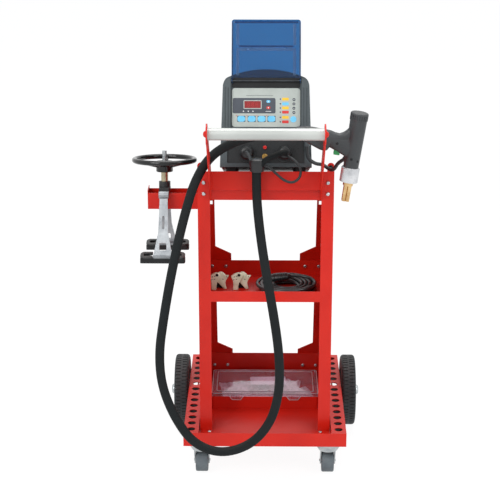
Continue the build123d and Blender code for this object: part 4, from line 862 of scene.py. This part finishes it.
grip_steps = [(0.0205, 0.0), (0.0215, 0.002), (0.0215, 0.006)]
grip_steps += ring_steps(0.007, 0.005, 0.0195, 0.0214, (0.0, 0.0014, 0.0022, 0.0042))
grip_steps += [(0.0190, 0.035), (0.0165, 0.039), (0.0160, 0.048), (0.0120, 0.0500)]
plugs = copies(turned("plug", grip_steps, 40), at_sockets(20.9))
boot = turned("boot", [(0.0150, 0.0), (0.0170, 0.003), (0.0172, 0.012), (0.0185, 0.022), (0.0200, 0.030),
                       (0.0190, 0.038), (0.0110, 0.043)], 36)
plugs.append(put(boot, HOSE_TOP @ Matrix.Diagonal((1.25, 1.0, 1.0, 1.0))))
lock_ring = turned("ring", [(0.0266, 0.0), (0.0272, 0.002), (0.0272, 0.0055), (0.0262, 0.0068), (0.0236, 0.0070),
                            (0.0230, 0.0050)], 40)
plugs += copies(lock_ring, at_sockets(21.4))
plug_set = dress("power_plugs", plugs, "black_plastic")
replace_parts(plug_set, "cable_plugs")
print("plug set", len(plug_set.data.polygons), "faces")

# %% [markdown]
# ## Braided leads
# A short lead runs from each plug into the boot: a thin pale one on the left, a thick dark one on the right. They are
# curves like the other cords, and both wear a woven sleeve.

# %% Braided leads
sleeve_finish("lead_braid", (60, 63, 65), (40, 43, 45), 36.0, 10.0, (128, 132, 134))
LEFT_ROUTE = millimetres([
    (-58, -262.6, 1074.5), (-58, -277, 1079.2), (-56.5, -292, 1082), (-52, -303, 1077), (-46, -307.5, 1066),
    (-40, -307, 1053), (-36, -304, 1041),
])
RIGHT_ROUTE = millimetres([
    (58, -262.6, 1074.5), (57.5, -279, 1080), (54, -296, 1084), (43, -309, 1084), (27, -314, 1079), (9, -315, 1071),
    (-6, -312, 1060), (-15, -306, 1046), (-18, -303, 1034),
])
hang_cord("left_plug_lead", LEFT_ROUTE, 0.005, "lead_braid")
hang_cord("right_plug_lead", RIGHT_ROUTE, 0.009, "hose_sleeve")
print("plug leads", len(LEFT_ROUTE), len(RIGHT_ROUTE), "points")

# %% [markdown]
# ## Ends of the earth lead
# One end of the earth lead carries a black ringed plug that lies on the coil, the other a brass cable lug. The plug
# is a turned piece with a boot, five rings and a collar. The lug is a crimped barrel and a flat tongue with a bolt
# hole.

# %% Plug and lug
TONGUE_REACH, TONGUE_THICK = 0.0262, 0.0026
HOLE_RADIUS, HOLE_X = 0.0032, 0.0062


def cut_out(piece, cutter):
    """Cut one shape out of another and drop the cutter."""
    cut = piece.modifiers.new("cut", "BOOLEAN")
    cut.object = cutter
    pick(piece)
    bpy.ops.object.modifier_apply(modifier="cut")
    bpy.data.objects.remove(cutter)


plug_steps = [(0.0078, 0.0), (0.0092, 0.002), (0.0104, 0.010), (0.0128, 0.012)]
plug_steps += ring_steps(0.013, 0.0062, 0.0124, 0.0140, (0.0, 0.0014, 0.0024, 0.0050))
plug_steps += [(0.0132, 0.0450), (0.0132, 0.0480), (0.0140, 0.0490), (0.0140, 0.0560), (0.0112, 0.0575),
               (0.0112, 0.0690), (0.0098, 0.0700)]
lead_plug = put(turned("lead_plug", plug_steps, 40), aim_along(wound[-1], plug_aim))
dress("lead_plug", [lead_plug], "black_plastic")
barrel = turned("barrel", [(0.0046, 0.0), (0.0054, 0.001), (0.0054, 0.013), (0.0040, 0.014)], 24)
put(barrel, aim_along(wound[0], -leaving))
tongue = rounded_plate("tongue", 0.0270, 0.0116, 0.0052, TONGUE_THICK, 6)
bpy.ops.mesh.primitive_cylinder_add(vertices=28, radius=HOLE_RADIUS, depth=0.02, location=(HOLE_X, 0.0, 0.0))
cut_out(tongue, bpy.context.object)
outward = Matrix.Rotation(math.atan2(-leaving.y, -leaving.x), 4, "Z")
tongue_foot = wound[0] - leaving * TONGUE_REACH - Vector((0.0, 0.0, TONGUE_THICK / 2))
put(tongue, Matrix.Translation(tongue_foot) @ outward)
lead_lug = dress("lead_lug", [barrel, tongue], "brass")
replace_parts(lead_plug, "earth_plug")
print("lead ends", [round(v, 4) for v in lead_plug.dimensions], [round(v, 4) for v in lead_lug.dimensions])

# %% [markdown]
# ## Inside the organiser
# Small clear bags of studs and washers fill the organiser, and a blank card lies on them. Seen through the clear lid
# they read as pale crumpled shapes. A bag starts as a fine grid, and a cloud texture crumples it.

# %% Bags and card
make_finish("bag_film", (240, 236, 236), (212, 206, 206), 0.3, cloud=45.0, grain=160.0, waves=0.9, wave_scale=70.0,
            bump=0.5, dust=0.0, clear=0.25)
BAGS = ((-0.075, 0.012, 0.1745, 0.15, 0.115, 9), (0.045, 0.03, 0.178, 0.145, 0.10, -7),
        (0.092, -0.03, 0.1735, 0.125, 0.09, 17), (-0.035, -0.042, 0.171, 0.16, 0.07, -4))
CRUMPLE_HEIGHT, FILM_THICK = 0.026, 0.0006
crumple = bpy.data.textures.new("bag_crumple", "CLOUDS")
crumple.noise_scale = 0.022
crumple.noise_depth = 3
bags = []
for x, y, z, length, width, turn in BAGS:
    bpy.ops.object.select_all(action="DESELECT")
    bpy.ops.mesh.primitive_grid_add(x_subdivisions=44, y_subdivisions=32, size=1.0)
    bag = open_mesh("bag")
    bpy.ops.transform.resize(value=(length, width, 1.0))
    bpy.ops.object.mode_set(mode="OBJECT")
    put(bag, shift(x, y, z) @ turn_by(turn, "Z"))
    fold = bag.modifiers.new("crumple", "DISPLACE")
    fold.texture = crumple
    fold.strength = CRUMPLE_HEIGHT
    fold.texture_coords = "LOCAL"
    wall = bag.modifiers.new("film", "SOLIDIFY")
    wall.thickness = FILM_THICK
    bpy.ops.object.modifier_apply(modifier="crumple")
    bpy.ops.object.modifier_apply(modifier="film")
    bpy.ops.object.shade_smooth_by_angle(angle=math.radians(40))
    bags.append(bag)
bag_heap = dress("part_bags", bags, "bag_film")
card = rounded_plate("card", 0.120, 0.066, 0.002, 0.0005)
dress("blank_card", [put(card, shift(0.010, 0.026, 0.1962) @ turn_by(2, "Z"))], "print_white")
print("bags", [round(v, 4) for v in bag_heap.dimensions])

# %% [markdown]
# ## Painted highlights on the edges of the clear lid
# Clear plastic shows mostly by its edges, which catch the light as pale lines. These lines are painted highlight: two
# thin pale frames lie on the lid, round its raised top and round its rim. A sheet with rounded corners is inset, its
# middle is deleted, and the rest is extruded.

# %% Lid lines
LINE_WIDTH, LINE_THICK = 0.0019, 0.0006
# Pale lines on the clear parts' edges: painted highlight.
make_finish("edge_painted_highlight", (240, 216, 222), (228, 202, 208), 0.45, cloud=40.0, grain=300.0, bump=0.1, dust=0.0,
            clear=0.35)
lines = []
for width, height, corner, z in ((0.3236, 0.1676, 0.008, 0.20675), (0.3545, 0.1985, 0.0075, 0.20525)):
    line = rounded_sheet("lid_line", width, height, corner, 5)
    bpy.ops.mesh.inset(thickness=LINE_WIDTH, depth=0.0)
    bpy.ops.mesh.delete(type="FACE")
    bpy.ops.mesh.select_all(action="SELECT")
    pull(0.0, 0.0, LINE_THICK)
    close_mesh()
    lines.append(put(line, shift(0.0, 0.004, z)))
dress("lid_lines", lines, "edge_painted_highlight", "organiser_lid")
print("lid lines", len(lines))

# %% [markdown]
# ## Boot of the grip
# The gun's grip wears a fuller boot. It flares into the barrel, is thickest at the hand end and narrows towards the
# hose. A bent shape like this is drawn out of an oval in steps, each with its own height and size.

# %% Grip boot
GUN = shift(0.260, -0.4025, 1.14839) @ turn_by(8.0, "Y")
boot_steps = [(0.0080, 0.0170, 0.0270, 0.0140), (0.0225, 0.0135, 0.0235, 0.0150), (0.0290, 0.0090, 0.0190, 0.0155),
              (0.0370, 0.0052, 0.0152, 0.0160), (0.0480, 0.0025, 0.0125, 0.0165), (0.0600, 0.0010, 0.0150, 0.0174),
              (0.0735, -0.0070, 0.0270, 0.0186), (0.0770, -0.0100, 0.0305, 0.0196), (0.0860, -0.0115, 0.0325, 0.0200),
              (0.1000, -0.0100, 0.0312, 0.0200), (0.1150, -0.0070, 0.0285, 0.0196), (0.1330, -0.0030, 0.0252, 0.0188),
              (0.1480, 0.0005, 0.0222, 0.0178), (0.1520, 0.0015, 0.0200, 0.0164), (0.1535, 0.0020, 0.0165, 0.0150)]


def drawn(name, steps):
    """Oval bar drawn outwards along X; each step gives reach, height, half height and half width."""
    reach, height, tall, wide = steps[0]
    bpy.ops.object.select_all(action="DESELECT")
    bpy.ops.mesh.primitive_circle_add(vertices=24, radius=1.0, fill_type="NGON")
    piece = open_mesh(name)
    bpy.ops.transform.resize(value=(tall, wide, 1.0))
    bpy.ops.transform.translate(value=(-height, 0.0, reach))
    for new_reach, new_height, new_tall, new_wide in steps[1:]:
        pull(height - new_height, 0.0, new_reach - reach)
        bpy.ops.transform.resize(value=(new_tall / tall, new_wide / wide, 1.0),
                                 center_override=(-new_height, 0.0, new_reach))
        reach, height, tall, wide = new_reach, new_height, new_tall, new_wide
    close_mesh(smooth=50)
    return piece


grip_boot = put(drawn("grip_boot", boot_steps), GUN @ turn_by(180, "Z") @ turn_by(90, "Y"))
dress("grip_boot", [grip_boot], "gun_plastic")
print("grip boot", [round(v, 4) for v in grip_boot.dimensions])

# %% [markdown]
# ## Screws
# The gun's halves are held by recessed screws, the welder's case and back by small pan heads. One pan-head screw is
# modelled as a turned head, two crossed slots are cut into it, and it is copied to each place.

# %% Screws of the gun and the case
make_finish("screw_black", (44, 46, 48), (30, 32, 33), 0.35, cloud=80.0, grain=500.0, metallic=0.6)
GUN_SPOTS = ((-128, -18.6, -3), (-52, -18.3, -12), (-4, -22.5, -52), (14, -17.9, -57))
BACK_SPOTS = ((-0.122, 0.028), (0.122, 0.028), (-0.112, 0.262), (0.112, 0.262))
CASE_HALF, CASE_FOOT, CASE_BACK, CASE_LEAN = 0.138, 0.016, 0.348, 9.0 / 272.0


def pan_screw(radius, height):
    """Pan head with a cross recess, made from a turned head and two sunk slots."""
    head = turned("screw", [(radius, 0.0), (radius, height * 0.45), (radius * 0.86, height * 0.85),
                            (radius * 0.6, height)], 24)
    for turn in (0, 90):
        bpy.ops.mesh.primitive_cube_add(size=1.0)
        recess = open_mesh("recess")
        bpy.ops.transform.resize(value=(radius * 1.1, radius * 0.26, height))
        bpy.ops.mesh.bevel(offset=radius * 0.05, segments=1)
        bpy.ops.object.mode_set(mode="OBJECT")
        cut_out(head, put(recess, shift(0, 0, height) @ turn_by(turn, "Z")))
    return head


gun_places = [GUN @ shift(x / 1000, y / 1000, z / 1000) @ UPRIGHT for x, y, z in GUN_SPOTS]
dress("gun_screws", copies(pan_screw(0.0042, 0.0014), gun_places), "screw_black")
case_places = [DECK @ shift(x, CASE_BACK, z) @ turn_by(-90, "X") for x, z in BACK_SPOTS]
case_places += [DECK @ shift(side * (CASE_HALF - (z - CASE_FOOT) * CASE_LEAN), y, z) @ turn_by(side * 90, "Y")
                for side in SIDES for y in (0.085, 0.318) for z in (0.05, 0.235)]
dress("case_screws", copies(pan_screw(0.0048, 0.0024), case_places), "bolt_steel")
print("screws", len(gun_places) + len(case_places))

# %% [markdown]
# ## Bolts
# Domed bolts close the ends of the handle tube and are painted with its brackets. Smaller black bolts hold the ears
# beside the welder. A bolt head is round, so both are turned pieces.

# %% Bolts of the handle and the bracket ears
dome = turned("dome", [(0.0105, 0.0), (0.0105, 0.002), (0.0090, 0.0026), (0.0080, 0.0052), (0.0050, 0.0075),
                       (0.0016, 0.0084)], 28)
tube_ends = [shift(side * 0.170, -0.516, 1.194) @ turn_by(side * 90, "Y") for side in SIDES]
dress("handle_bolts", copies(dome, tube_ends), "red_paint")
ear_bolt = turned("ear_bolt", [(0.0062, 0.0), (0.0062, 0.0025), (0.0052, 0.0042), (0.0030, 0.0048)], 24)
ears = [shift(side * 0.197, -0.266, 1.031) @ UPRIGHT for side in SIDES]
dress("ear_bolts", copies(ear_bolt, ears), "screw_black")
print("bolts", len(tube_ends) + len(ears))

# %% [markdown]
# ## Painted shade in the tool ledges
# The two ledges with the round holes are closed channels, and the holes look black because the inside of a channel
# lies in shade. A dark strip of painted shade lies on each channel's floor, under the holes. It leaves the drain hole
# free.

# %% Painted shade in the tool ledges
LEDGE_X, LEDGE_FLOOR = 0.236, 0.1501
hole_shade_strips = []
for low, high in ((-0.311, 0.092), (0.128, 0.312)):
    places = [shift(side * LEDGE_X, (low + high) / 2, LEDGE_FLOOR) for side in SIDES]
    # Each strip is painted shade: the dark inside of a closed channel, seen through its holes.
    hole_shade_strips += copies(rounded_plate("hole_shade_strip", 0.042, high - low, 0.003, 0.0012), places)
dress("ledge_hole_shade_strips", hole_shade_strips, "foot_rubber")
print("hole_shade_strips", len(hole_shade_strips))

# %% [markdown]
# ## Earth clamps
# Two cast clamps stand on the shelf. Each has a straight arm in front and a second arm behind it that ends in a
# pointed jaw. An arm's outline is drawn as by hand: one point is extruded to the next, the outline is filled, the
# plate gets its thickness, and a bevel softens its cast edges.

# %% Clamp castings
CLAMP_XS, SHELF = (-0.148, -0.078), 0.596
ARM_THICK, ARM_SOFT = 11.0, 1.8
FRONT_ARM_Y, JAW_ARM_Y = -0.154, -0.143


def cast_plate(name, outline, thick, soft):
    """Cast plate from an outline in millimetres, with softened edges."""
    bpy.ops.object.select_all(action="DESELECT")
    bpy.ops.mesh.primitive_plane_add(size=0.001)
    piece = open_mesh(name)
    bpy.ops.mesh.select_mode(type="VERT")
    bpy.ops.mesh.select_all(action="SELECT")
    bpy.ops.mesh.merge(type="CENTER")
    x, y = outline[0]
    bpy.ops.transform.translate(value=(x / 1000, y / 1000, 0.0))
    for new_x, new_y in outline[1:]:
        pull((new_x - x) / 1000, (new_y - y) / 1000, 0.0)
        x, y = new_x, new_y
    bpy.ops.mesh.select_all(action="SELECT")
    bpy.ops.mesh.edge_face_add()
    pull(0.0, 0.0, thick / 1000)
    close_mesh()
    soften = piece.modifiers.new("soften", "BEVEL")
    soften.width = soft / 1000
    soften.segments = 3
    bpy.ops.object.modifier_apply(modifier="soften")
    bpy.ops.object.shade_smooth_by_angle(angle=math.radians(40))
    return piece


def by_clamp(x, y, z, turn=0):
    """The same upright place on both clamps; x and z in millimetres from the clamp's foot, turn in degrees."""
    return [shift(foot + x / 1000, y, SHELF + z / 1000) @ UPRIGHT @ turn_by(turn, "Z") for foot in CLAMP_XS]


front_arm = cast_plate("front_arm", [(-9, 0), (-8, 15), (-5, 27), (1, 36), (6, 44), (5, 52), (-2, 57), (-10, 57.5),
                                     (-20, 54), (-31.5, 46), (-30, 41), (-26, 32), (-24.5, 18), (-25.5, 0)],
                       ARM_THICK, ARM_SOFT)
jaw_arm = cast_plate("jaw_arm", [(15, 0), (0, 17), (-6, 24), (-9, 36), (-6, 50), (2, 57), (10, 55.5), (17, 50),
                                 (21, 44.5), (31.5, 45), (26.5, 36), (21.5, 28), (19.5, 19), (22, 8), (24, 0)],
                     ARM_THICK, ARM_SOFT)
arms = copies(front_arm, by_clamp(0, FRONT_ARM_Y, 0)) + copies(jaw_arm, by_clamp(0, JAW_ARM_Y, 0))
clamps = dress("clamp_castings", arms, "cast_cream")
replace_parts(clamps, "earth_clamps")
print("clamps", [round(v, 4) for v in clamps.dimensions])

# %% [markdown]
# ## Pins and painted shade of the clamps
# A dark pin holds the two arms of a clamp. The short slots in their faces lie in shade, so dark plates of painted
# shade mark them, and a dark plate of painted shade stands behind their feet, where the gap between the legs lies in
# shade. The pin is the screw from above, and the others are rounded plates.

# %% Pins and painted shade of the clamps
FRONT_FACE, JAW_FACE = -0.1649, -0.1539
SLOTS = ((-21, FRONT_FACE, 45, 20), (-13, FRONT_FACE, 47, 20), (-23, FRONT_FACE, 35, 20), (-14, FRONT_FACE, 37, 20),
         (12, JAW_FACE, 33, -30), (25, JAW_FACE, 41.5, -40))
dress("clamp_bolts", copies(pan_screw(0.0046, 0.002), by_clamp(-6, -0.165, 51)), "screw_black")
slot_places = [place for slot in SLOTS for place in by_clamp(*slot)]
# Dark plates of painted shade, for the shade in the cast slots.
slot_shades = copies(rounded_plate("clamp_slot", 0.0052, 0.0018, 0.0008, 0.0004), slot_places)
dress("clamp_slot_shades", slot_shades, "screw_black")
# A dark plate of painted shade behind the feet, for the shade in the gap between the legs.
gap_shades = copies(rounded_plate("clamp_gap_shade", 0.030, 0.0236, 0.003, 0.0017), by_clamp(0, -0.1410, 11.8))
dress("clamp_gap_shades", gap_shades, "foot_rubber")
print("clamp slots", len(slot_shades), "gap_shades", len(gap_shades))

# %% [markdown]
# ## Latches of the organiser
# Two tapered latches hang from the clear lid's front edge. Clear plastic shows by its edges, so each latch gets a pale
# line of painted highlight round its three free sides, drawn with the same outline tool as the clamps.

# %% Latches of the organiser
# The pale line round each latch is painted highlight.
latch_line = cast_plate("latch_line", [(-26, 0), (-15, -16), (15, -16), (26, 0), (23.2, 0), (13.4, -13.8),
                                       (-13.4, -13.8), (-23.2, 0)], 0.5, 0.1)
latch_places = [shift(side * 0.095, -0.0988, 0.1993) @ UPRIGHT for side in SIDES]
latches = dress("latch_lines", copies(latch_line, latch_places), "edge_painted_highlight", "organiser_lid")
print("latch lines", [round(v, 4) for v in latches.dimensions])

# %% [markdown]
# ## Handwheel
# The wheel has a slim round rim, three dished spokes and a boss that covers the nut. The boss is a turned piece with
# a straight skirt, the rim is a torus, and each spoke is an oval drawn outwards in steps while it climbs to the rim.
# The wheel takes the place of its plainer construction piece and turns with the wheel's body.

# %% Handwheel
PULLER = shift(-0.317, -0.137, 0.918) @ turn_by(-8.0, "X")
RIM_HEIGHT, RIM_RADIUS, RIM_HALF = 0.097, 0.0940, 0.0080
boss = turned("boss", [(0.0250, 0.0605), (0.0264, 0.0620), (0.0264, 0.0755), (0.0285, 0.0790), (0.0330, 0.0822),
                       (0.0345, 0.0840), (0.0330, 0.0880), (0.0270, 0.0930)], 48)
bpy.ops.mesh.primitive_torus_add(major_segments=96, minor_segments=20, major_radius=RIM_RADIUS, minor_radius=RIM_HALF)
rim = put(bpy.context.object, shift(0.0, 0.0, RIM_HEIGHT))
bpy.ops.object.shade_smooth()
spoke_steps = [(0.026, 0.0815, 0.0078, 0.0125), (0.040, 0.0835, 0.0062, 0.0100), (0.058, 0.0872, 0.0050, 0.0080),
               (0.076, 0.0915, 0.0045, 0.0072), (0.0935, 0.0960, 0.0046, 0.0074)]
spokes = copies(drawn("spoke", spoke_steps), [turn_by(a, "Z") @ turn_by(90, "Y") for a in (90, 210, 330)])
wheel = put(join_all([boss, rim] + spokes, "handwheel"), PULLER)
dress("handwheel", [wheel], "gloss_black", "handwheel")
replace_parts(wheel, "puller_handwheel")
print("handwheel", [round(v, 4) for v in wheel.dimensions])

# %% [markdown]
# ## Hooks of the puller's feet
# Each foot ends in two flat hooks, open towards the leg, that take a clamp's pin. They lean back a little, so their
# slots can be seen from the front. One hook is cut as an outline and copied to the four ends, turned round for the
# left ones.

# %% Hooks of the puller's feet
HOOK_X, FOOT_Y, FOOT_TOP = 0.050, 0.115, -0.190
HOOK_LEAN = turn_by(15.0, "X")
foot_hook = cast_plate("foot_hook", [(-19, 21), (8, 21), (15, 17), (19, 9), (19, -9), (15, -17), (8, -21), (-19, -21),
                                     (-19, -10), (3, -10), (8, -6), (8, 6), (3, 10), (-19, 10)], 8.0, 1.5)
hook_places = [PULLER @ shift(end * HOOK_X, side * FOOT_Y, FOOT_TOP) @ HOOK_LEAN
               @ turn_by(180 if end < 0 else 0, "Z") for end in SIDES for side in SIDES]
foot_hooks = dress("foot_hooks", copies(foot_hook, hook_places), "cast_black")
print("foot hooks", [round(v, 4) for v in foot_hooks.dimensions])

# %% [markdown]
# ## Ribs, painted highlight and painted shade of the blue cover
# The open cover is a shallow clear moulding. A step runs across it at its crease, two ribs run up its sides, and a lip
# stiffens its top edge. They are thin plates on the cover's inner face, which bends a few degrees at the crease, so
# each side rib is made of two plates. The side ribs and the step's face are a paler blue, a painted highlight for the
# light that the moulding's curves reflect. The cover's side edges look nearly black, because the eye looks along the
# sheet there, so each has a thin dark strip of painted shade. Behind the hinge pin the gap above the panel lies in
# shade, and a dark plate of painted shade fills it.

# %% Cover ribs, painted highlight and painted shade
COVER = DECK @ shift(0.0, 0.018, 0.276) @ turn_by(-3.0, "X")
LOW_LEAN, HIGH_LEAN = -2.95, 3.6


def on_cover(name, spots, width, height, corner, thick, lean=0.0):
    """The same rounded plate at each spot of the cover's inner face, in millimetres, its lean in degrees."""
    plate = rounded_plate(name, width / 1000, height / 1000, corner / 1000, thick / 1000)
    return copies(plate, [COVER @ shift(x / 1000, y / 1000, z / 1000) @ turn_by(lean, "X") @ UPRIGHT
                          for x, y, z in spots])


# The paler blue of the side ribs and the step's face is painted highlight.
make_finish("cover_painted_sheen", (110, 160, 206), (98, 150, 198), 0.2, cloud=12.0, grain=60.0, bump=0.0, dust=0.0,
            clear=0.82)
# The near-black blue of the side edges is painted shade.
make_finish("cover_edge_shade", (20, 36, 70), (16, 30, 60), 0.3, cloud=20.0, grain=200.0, dust=0.0)
ribs = on_cover("step", [(0, 18.9, 110)], 168, 5.0, 2.2, 1.0)
ribs += on_cover("lip", [(0, 14.2, 183)], 196, 5.0, 2.0, 1.8, HIGH_LEAN)
dress("cover_ribs", ribs, "cover_blue", "cover")
faces = on_cover("step_face", [(0, 18.6, 101)], 164, 10.0, 4.0, 0.4, LOW_LEAN)
faces += on_cover("rib", [(side * 87, 16.7, 63) for side in SIDES], 9.0, 86, 3.0, 0.4, LOW_LEAN)
faces += on_cover("rib", [(side * 87, 16.7, 146) for side in SIDES], 9.0, 66, 3.0, 0.4, HIGH_LEAN)
dress("cover_step_faces", faces, "cover_painted_sheen", "cover")
edges = on_cover("edge", [(side * 103.0, 16.3, 58) for side in SIDES], 2.4, 100, 1.0, 0.4, LOW_LEAN)
edges += on_cover("edge", [(side * 103.0, 16.5, 148) for side in SIDES], 2.4, 72, 1.0, 0.4, HIGH_LEAN)
dress("cover_edges", edges, "cover_edge_shade", "cover")
# A dark plate of painted shade fills the gap behind the hinge pin.
recess_shade = put(rounded_plate("recess_shade", 0.206, 0.030, 0.004, 0.0010), DECK @ shift(0.0, 0.0262, 0.2715) @ UPRIGHT)
dress("hinge_recess_shade", [recess_shade], "foot_rubber")
print("cover ribs", len(ribs), "faces", len(faces), "edges", len(edges))
